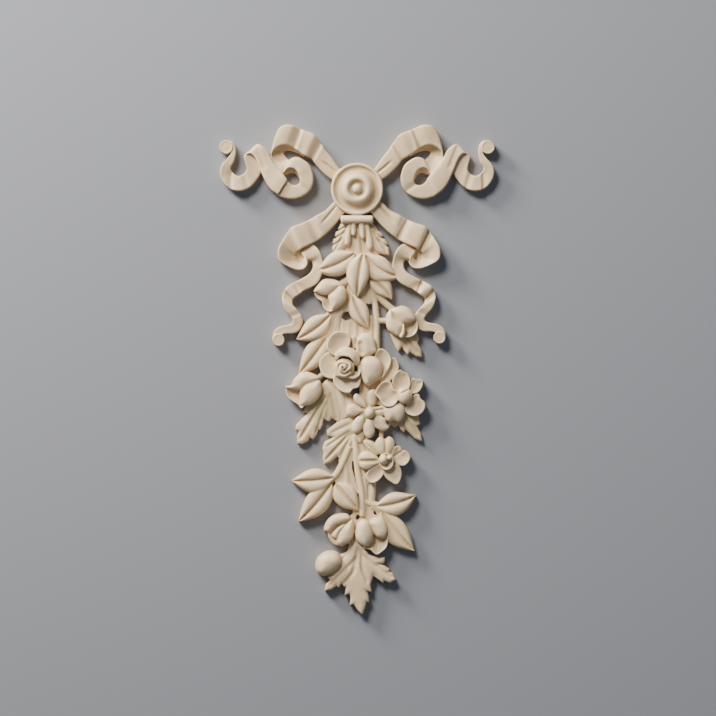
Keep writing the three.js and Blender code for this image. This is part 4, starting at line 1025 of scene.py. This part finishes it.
# %% Bundled stems behind the leaves
BUNDLE = [
    ([[-13, -89], [-20, -103], [-26, -125]], 2.2, 1.15),
    ([[-10, -91], [-15.8, -104], [-20.5, -127]], 1.3, 1.08),
    ([[-8, -94], [-13.7, -104], [-16, -113], [-16.5, -127]], 0.7, 1.02),
    ([[-12, -111], [-12.2, -118], [-12, -128]], 1.2, 0.9),
    ([[-6.5, -109], [-7, -117], [-7, -128]], 1.0, 0.9),
    ([[-1, -108], [-1, -116], [-1, -128]], 1.2, 0.95),
    ([[5, -110], [5, -118], [4, -126]], 1.3, 0.95),
    ([[-4, -80], [-3, -90], [-4, -98]], 1.5, 0.95),
    ([[3, -82], [4, -90], [5, -98]], 1.3, 0.95),
    ([[20, -151], [22, -158], [20, -168]], 2.0, 0.95),
    ([[10, -160], [12, -166], [12, -172]], 1.6, 0.9),
    ([[-14, -165], [-13, -176], [-9, -190]], 2.2, 1.0),
    ([[-6, -172], [-5, -182], [-5, -196]], 1.5, 0.95),
    ([[-12, -224], [-9, -234], [-8, -248]], 1.6, 0.95),
    ([[2, -206], [5, -216], [8, -226]], 1.4, 0.95),
    ([[13, -236], [13, -248], [12, -260]], 1.1, 0.9),
]
for k, spec in enumerate(BUNDLE):
    parts.append(stem(f"bundle_{k}", *spec))
print("bundled stems:", len(BUNDLE))

# %% [markdown]
# ## The backing
# Low plates lie under the forms, hold the casting together and leave the open spaces that show
# the wall. A plate starts as a flat polygon that is extruded, and two small holes are cut from
# one of them with booleans, as a mould would keep them open with pins.

# %% Backing plates
BACKINGS = [
    [[-21, -96], [-13.5, -99], [-13.5, -106.5], [-9, -109.8], [-5, -108], [10, -112], [10.5, -145],
     [-32, -148], [-29, -126], [-24, -108]],
    [[-22, -95], [-10, -86], [-4, -90], [-6, -101.5], [-10, -102], [-13, -104.5], [-13, -107.8],
     [-18, -110], [-27, -110]],
    [[-8, -78], [9, -78], [9, -95], [-7, -96], [-10, -92]],
    [[2, -152], [27, -145], [33, -150], [34, -165], [22, -180], [2, -178]],
    [[-21, -160], [-17, -165], [-6.5, -167.5], [-4, -172.5], [3, -171], [6, -188], [-2, -212],
     [-11, -207], [-12, -194], [-21, -186]],
    [[-9, -208], [8, -203], [12, -212], [18, -230], [9, -246], [6, -240], [0, -228], [-4, -226], [-9, -218]],
    [[-10, -222], [-4, -222], [-4.2, -232], [1.4, -253], [-6, -254], [-17, -247], [-19, -241], [-14, -232]],
    [[-4, -265], [2, -262], [8, -257], [22, -262], [27, -276], [22, -284], [-5, -284], [-7, -273.5],
     [-3.5, -269.5]],
    [[22, -285], [27, -276], [32, -286], [26, -293]],
]
BACKING_HOLES = {
    7: [[[-1.3, -273.5], [-0.3, -271], [1.5, -270.6], [2.5, -273], [1, -275.2], [-0.6, -275.2]],
        [[13.4, -268.8], [14.4, -267.2], [16.2, -269.4], [16.8, -271.2], [14.6, -270.9]]],
}


def plate(name, outline, low, high):
    """A flat plate of the outline's shape between two heights."""
    circle_add = bpy.ops.mesh.primitive_circle_add
    piece = new_piece(name, circle_add, vertices=len(outline), fill_type="NGON")
    for vertex, (x, z) in zip(piece.data.vertices, outline):
        vertex.co = (x * MM, -low * MM, z * MM)
    start_edit()
    bpy.ops.mesh.extrude_region_move(TRANSFORM_OT_translate={"value": (0, -(high - low) * MM, 0)})
    end_edit()
    return piece


for k, outline in enumerate(BACKINGS):
    base = plate(f"backing_{k}", outline, 0, BACKING_HEIGHT)
    for j, hole in enumerate(BACKING_HOLES.get(k, [])):
        cutter = plate(f"backing_hole_{k}_{j}", hole, -2, BACKING_HEIGHT + 2)
        cut = base.modifiers.new("hole", "BOOLEAN")
        cut.operation = "DIFFERENCE"
        cut.object = cutter
        bpy.context.view_layer.objects.active = base
        bpy.ops.object.modifier_apply(modifier=cut.name)
        bpy.data.objects.remove(cutter)
    parts.append(base)
print("parts in all:", len(parts))

# %% [markdown]
# ## One skin
# The real thing came out of its mould as one body with soft edges. Booleans between so many
# overlapping parts would be slow and could fail. So the parts are joined into one object, and
# a voxel remesh keeps only their common outer skin, with even cells that are smaller than the
# finest groove.

# %% Fuse the parts
VOXEL_MM = 0.42
TRIANGLES = 190000
bpy.ops.object.select_all(action="DESELECT")
for part in parts:
    part.select_set(True)
bpy.context.view_layer.objects.active = parts[0]
bpy.ops.object.join()
casting = bpy.context.object
casting.name = "onlay_skin"
casting.data.remesh_voxel_size = VOXEL_MM * MM
casting.data.use_remesh_fix_poles = False
bpy.ops.object.voxel_remesh()
print("after the remesh:", len(casting.data.polygons), "faces")

# %% [markdown]
# ## Soft edges and a flat back
# A little smoothing takes off the voxel steps and rounds every edge as paint and wear do. The
# back is then pressed flat on the wall plane again, and a decimate step spends the triangles
# where the surface curves.

# %% Smooth, flatten the back and thin the mesh
soften = casting.modifiers.new("soften", "SMOOTH")
soften.factor = 0.5
soften.iterations = 2
bpy.ops.object.modifier_apply(modifier=soften.name)


def mesh_points(piece):
    """All its points as rows of x, y and z."""
    flat = np.empty(len(piece.data.vertices) * 3)
    piece.data.vertices.foreach_get("co", flat)
    return flat.reshape(-1, 3)


def keep_in_box(piece):
    """The back goes flat on the wall plane, and no point passes the casting's own box."""
    points = mesh_points(piece)
    points[points[:, 1] > -0.7 * VOXEL_MM * MM, 1] = 0
    low, high = np.array(cad_box[0]), np.array(cad_box[1])
    piece.data.vertices.foreach_set("co", np.clip(points, low, high).ravel())
    piece.data.update()


keep_in_box(casting)
thin = casting.modifiers.new("thin", "DECIMATE")
thin.ratio = min(1, TRIANGLES / (2 * len(casting.data.polygons)))
bpy.ops.object.modifier_apply(modifier=thin.name)
keep_in_box(casting)
bpy.ops.object.shade_smooth_by_angle(angle=math.radians(70))
print("triangles:", len(casting.data.polygons))

# %% [markdown]
# ## Where the hollows, creases and crests are
# Light and shade are painted into the cream: warm bounce light yellow in its hollows, shade
# brown in its creases and a chalky highlight on its crests. Each point's height is compared with
# the mean height around it, once over a wide circle for the hollows and once over a narrow one
# for the creases and crests. The results are kept on the mesh as attributes that the material
# reads. Open spaces don't count in the mean, so the wall beside an outer edge doesn't make a
# hollow of it.

# %% Measure the hollows
def blurred(field, radius):
    """Repeated box blurs, which come close to a soft round one."""
    for _ in range(3):
        for axis in (0, 1):
            margin = [(radius + 1, radius) if a == axis else (0, 0) for a in (0, 1)]
            total = np.cumsum(np.pad(field, margin), axis=axis)
            size = 2 * radius + 1
            ahead = np.take(total, range(size, total.shape[axis]), axis=axis)
            behind = np.take(total, range(0, total.shape[axis] - size), axis=axis)
            field = (ahead - behind) / size
    return field


def hollow_values(points, radius_mm, cell_mm=0.8):
    """How far each point lies under the mean round it, and how much solid there is round it."""
    low = points.min(axis=0)
    column = ((points[:, 0] - low[0]) / (cell_mm * MM)).astype(int) + 12
    row = ((points[:, 2] - low[2]) / (cell_mm * MM)).astype(int) + 12
    shape = (row.max() + 13, column.max() + 13)
    top = np.zeros(shape)
    np.maximum.at(top, (row, column), -points[:, 1] / MM)
    there = (top > 0.5).astype(float)
    radius = max(1, round(radius_mm / cell_mm))
    cover = blurred(there, radius)
    mean = blurred(top * there, radius) / np.maximum(cover, 1e-3)
    return mean[row, column] + points[:, 1] / MM, cover[row, column]


WIDE_CIRCLE = 4.5
NARROW_CIRCLE = 1.5
LOW_GROUND = 9
# The share of painted highlight that the outer edges get.
EDGE_HIGHLIGHT = 0.3
points = mesh_points(casting)
front = points[:, 1] < -1.2 * MM
wide_shortfall, wide_cover = hollow_values(points, WIDE_CIRCLE)
near_shortfall, near_cover = hollow_values(points, NARROW_CIRCLE)
inner = np.clip((wide_cover - 0.72) / 0.22, 0, 1)
# Painted bounce light: low ground near the back plane and points under the wide mean get the yellow of warm
# light bounced round the hollows.
low_ground = np.clip((LOW_GROUND + points[:, 1] / MM) / 3, 0, 1) * 0.85
painted_bounce = np.maximum(np.clip(wide_shortfall / 3.5, 0, 1), low_ground) * inner * front
# Painted shade: points under the narrow mean, in the creases, are to be darkened brown.
painted_shade = np.clip((near_shortfall - 0.1) / 0.9, 0, 1) * inner * front
# Painted highlight: crests above the narrow mean and, more weakly, the outer edges are to be lightened.
edge = np.clip((0.85 - near_cover) / 0.3, 0, 1)
painted_highlight = np.maximum(np.clip(-near_shortfall / 0.7, 0, 1) * front, EDGE_HIGHLIGHT * edge)
for label, values in (("painted_bounce", painted_bounce), ("painted_shade", painted_shade), ("painted_highlight", painted_highlight)):
    attribute = casting.data.attributes.new(label, "FLOAT", "POINT")
    attribute.data.foreach_set("value", values.astype(np.float32))
print("mean hollow", round(float(painted_bounce.mean()), 3), "painted_shade", round(float(painted_shade.mean()), 3))

# %% [markdown]
# ## The cream polyurethane
# The casting is satin-matte and slightly warm. An image could carry its tints, but a
# measured finish keeps sharp at any distance and follows the form. One node group mixes what
# changes over the surface: painted yellow bounce light in the hollows, painted brown shade in
# the creases, a painted chalky highlight on the crests, a soft mottle and a fine skin texture.

# %% Helpers that lay nodes and link them
def new_group(name, inputs, outputs):
    """An empty node group with named sockets."""
    group = bpy.data.node_groups.new(name, "ShaderNodeTree")
    for label, kind, value in inputs:
        socket = group.interface.new_socket(name=label, in_out="INPUT", socket_type=kind)
        socket.default_value = value
    for label, kind in outputs:
        group.interface.new_socket(name=label, in_out="OUTPUT", socket_type=kind)
    return group


def node(tree, kind, **settings):
    made = tree.nodes.new(kind)
    for key, value in settings.items():
        setattr(made, key, value)
    return made


def noise(tree, source, scale, detail):
    """A noise texture at a scale, read at the given place."""
    made = node(tree, "ShaderNodeTexNoise")
    made.inputs["Scale"].default_value = scale
    made.inputs["Detail"].default_value = detail
    tree.links.new(source, made.inputs["Vector"])
    return made.outputs["Fac"]


def feed(tree, sockets, values):
    """Link each socket to what it is given, or set it where that is a plain value."""
    for socket, value in zip(sockets, values):
        if hasattr(value, "is_linked"):
            tree.links.new(value, socket)
        else:
            socket.default_value = value


def mix_colour(tree, factor, a, b):
    made = node(tree, "ShaderNodeMix", data_type="RGBA")
    feed(tree, (made.inputs["Factor"], made.inputs[6], made.inputs[7]), (factor, a, b))
    return made.outputs[2]


def remap(tree, value, low, high, to_low, to_high):
    """Carry a value over from one range to another."""
    made = node(tree, "ShaderNodeMapRange")
    for label, number in (("From Min", low), ("From Max", high), ("To Min", to_low), ("To Max", to_high)):
        made.inputs[label].default_value = number
    tree.links.new(value, made.inputs["Value"])
    return made.outputs["Result"]


def combine(tree, a, b, operation="MULTIPLY"):
    made = node(tree, "ShaderNodeMath", operation=operation)
    feed(tree, made.inputs, (a, b))
    return made.outputs[0]


print("helpers: noise, mix_colour, remap and combine")

# %% [markdown]
# ## The node group of the skin and its painted light
# The tints are laid over each other: painted yellow bounce light in the hollows first, then
# painted brown shade in the creases, and last a painted chalky highlight on the crests and outer
# edges. Hollows are also a little duller, since no hand polishes them.

# %% A node group for the cast skin and its painted light
def skin_and_painted_light_group():
    """The cream skin's colour with painted bounce light, shade and highlights, its roughness and fine
    texture.
    """
    group = new_group("cast_skin_and_painted_light", [
        ("Vector", "NodeSocketVector", (0, 0, 0)),
        ("Painted_bounce", "NodeSocketFloat", 0.0),
        ("Painted_shade", "NodeSocketFloat", 0.0),
        ("Painted_highlight", "NodeSocketFloat", 0.0),
        ("Cream", "NodeSocketColor", (0.625, 0.449, 0.238, 1)),
        ("Bounce_ochre", "NodeSocketColor", (0.67, 0.585, 0.25, 1)),
        ("Shade_brown", "NodeSocketColor", (0.275, 0.247, 0.19, 1)),
        ("Highlight_cream", "NodeSocketColor", (0.90, 0.735, 0.50, 1)),
    ], [
        ("Color", "NodeSocketColor"), ("Roughness", "NodeSocketFloat"), ("Height", "NodeSocketFloat"),
    ])
    inside = node(group, "NodeGroupInput")
    outside = node(group, "NodeGroupOutput")
    given = inside.outputs
    cloud = noise(group, given["Vector"], 28, 2.0)
    fine = noise(group, given["Vector"], 260, 3.0)
    grain = noise(group, given["Vector"], 1500, 2.0)
    # Painted warm bounce light: the hollows are mixed towards a yellow ochre, in patches.
    patchy = combine(group, given["Painted_bounce"], remap(group, cloud, 0.3, 0.75, 0.55, 1.25))
    bounce_share = remap(group, patchy, 0.02, 0.7, 0, 1)
    bounce_lit = mix_colour(group, bounce_share, given["Cream"], given["Bounce_ochre"])
    # Painted shade: the creases are mixed towards a dark brown.
    crease_shaded = mix_colour(group, combine(group, given["Painted_shade"], 0.55), bounce_lit, given["Shade_brown"])
    # Painted highlight: the crests and outer edges are mixed towards a pale chalky cream.
    highlighted = mix_colour(group, combine(group, given["Painted_highlight"], 0.7), crease_shaded, given["Highlight_cream"])
    warm = mix_colour(group, remap(group, cloud, 0.25, 0.8, 0.0, 0.22), highlighted, (0.70, 0.50, 0.37, 1))
    mottled = mix_colour(group, remap(group, fine, 0.35, 0.75, 0.0, 0.12), warm, (0.54, 0.40, 0.25, 1))
    group.links.new(mottled, outside.inputs["Color"])
    duller = combine(group, given["Painted_bounce"], 0.14)
    rough = combine(group, remap(group, fine, 0.3, 0.8, 0.42, 0.56), duller, "ADD")
    group.links.new(rough, outside.inputs["Roughness"])
    height = combine(group, combine(group, fine, 0.6), combine(group, grain, 0.25), "ADD")
    group.links.new(height, outside.inputs["Height"])
    return group


print("node group:", skin_and_painted_light_group().name)

# %% [markdown]
# ## The material on the casting
# The material reads the three attributes and the piece's own coordinates, and hands them to
# the node group. The shader, its specular level and the bump stay here. The bump is only the
# fine texture of the skin: every form that throws a shadow is in the mesh.

# %% The casting's material
def cream_with_painted_light():
    made = bpy.data.materials.new("cream_with_painted_light")
    made.use_nodes = True
    tree = made.node_tree
    shader = tree.nodes["Principled BSDF"]
    shader.inputs["Specular IOR Level"].default_value = 0.4
    skin = node(tree, "ShaderNodeGroup", node_tree=bpy.data.node_groups["cast_skin_and_painted_light"])
    place = node(tree, "ShaderNodeTexCoord")
    tree.links.new(place.outputs["Object"], skin.inputs["Vector"])
    # The three attributes say where bounce light, shade and highlights are painted.
    for label in ("Painted_bounce", "Painted_shade", "Painted_highlight"):
        reader = node(tree, "ShaderNodeAttribute", attribute_name=label.lower())
        tree.links.new(reader.outputs["Fac"], skin.inputs[label])
    bump = node(tree, "ShaderNodeBump")
    bump.inputs["Strength"].default_value = 0.35
    bump.inputs["Distance"].default_value = 0.0004
    tree.links.new(skin.outputs["Height"], bump.inputs["Height"])
    tree.links.new(skin.outputs["Color"], shader.inputs["Base Color"])
    tree.links.new(skin.outputs["Roughness"], shader.inputs["Roughness"])
    tree.links.new(bump.outputs["Normal"], shader.inputs["Normal"])
    return made


casting.data.materials.clear()
casting.data.materials.append(cream_with_painted_light())
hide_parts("casting")
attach(casting, "root")
print("material:", casting.data.materials[0].name)

# %% [markdown]
# ## The plain set
# The ornament hangs flat, so the pale floor of the set is stood up behind it as a backdrop
# that takes its soft shadow. The backdrop is see-through from behind and to rays that start
# right next to it, so that the flat back can be looked at and is lit.

# %% Backdrop
def backdrop_material():
    made = bpy.data.materials.new("pale_backdrop")
    made.use_nodes = True
    tree = made.node_tree
    shader = tree.nodes["Principled BSDF"]
    shader.inputs["Base Color"].default_value = (0.252, 0.26, 0.285, 1)
    shader.inputs["Roughness"].default_value = 0.9
    shader.inputs["Specular IOR Level"].default_value = 0.1
    clear = node(tree, "ShaderNodeBsdfTransparent")
    choose = node(tree, "ShaderNodeMixShader")
    facing = node(tree, "ShaderNodeNewGeometry")
    ray = node(tree, "ShaderNodeLightPath")
    close = combine(tree, ray.outputs["Ray Length"], 0.0009, "LESS_THAN")
    tree.links.new(combine(tree, facing.outputs["Backfacing"], close, "MAXIMUM"), choose.inputs["Fac"])
    tree.links.new(shader.outputs["BSDF"], choose.inputs[1])
    tree.links.new(clear.outputs["BSDF"], choose.inputs[2])
    tree.links.new(choose.outputs["Shader"], tree.nodes["Material Output"].inputs["Surface"])
    return made


bpy.ops.object.select_all(action="DESELECT")
bpy.ops.mesh.primitive_plane_add(size=4, location=(0, 0.0003, -0.14), rotation=(math.pi / 2, 0, 0))
backdrop = bpy.context.object
backdrop.name = "backdrop"
backdrop.data.materials.append(backdrop_material())
print("backdrop at y =", round(backdrop.location.y * 1000, 2), "mm")

# %% [markdown]
# ## Camera and lights
# The camera looks straight at the wall from 3 m, so the picture is nearly without perspective.
# A key light and a grazing one from the upper left model the relief, a weak cool fill opens
# the shadows, and a light behind serves the views of the back.

# %% Camera and lights
def aimed(location, target):
    return (Vector(target) - Vector(location)).to_track_quat("-Z", "Y").to_euler()


PICTURE_PIXELS = 716
MM_PER_PIXEL = 5 / 6
DISTANCE = 3.0
SENSOR = 36
AIM = (0, 0, -0.14)
bpy.ops.object.camera_add(location=(0.0008, -DISTANCE, -0.1404), rotation=(math.pi / 2, 0, 0))
camera = bpy.context.object
camera.data.sensor_width = SENSOR
camera.data.lens = SENSOR * DISTANCE / (PICTURE_PIXELS * MM_PER_PIXEL * MM)
bpy.context.scene.camera = camera


def soft_light(name, location, size, watts, colour=(1, 1, 1)):
    bpy.ops.object.light_add(type="AREA", location=location, rotation=aimed(location, AIM))
    light = bpy.context.object
    light.name = name
    light.data.shape = "DISK"
    light.data.size = size
    light.data.energy = watts
    light.data.color = colour
    return light


soft_light("key", (-0.75, -1.35, 1.2), 0.7, 54, colour=(1, 0.965, 0.91))
soft_light("rim", (-1.15, -0.5, 1.1), 0.5, 62, colour=(1, 0.96, 0.90))
soft_light("fill", (0.9, -2.0, -0.1), 1.6, 4, colour=(0.82, 0.91, 1))
soft_light("back", (0.7, 1.9, 0.8), 1.2, 30)
world = bpy.data.worlds.new("studio")
world.use_nodes = True
world.node_tree.nodes["Background"].inputs["Color"].default_value = (0.72, 0.84, 1.0, 1)
world.node_tree.nodes["Background"].inputs["Strength"].default_value = 0.13
bpy.context.scene.world = world
print("lens", round(camera.data.lens, 1), "mm")

# %% [markdown]
# ## The last step
# A visual that grows past the imported solid would no longer fit where the solid fits. The skin
# was kept inside the solid's box above, and here the view layer is brought up to date.

# %% Bring the view layer up to date
bpy.context.view_layer.update()
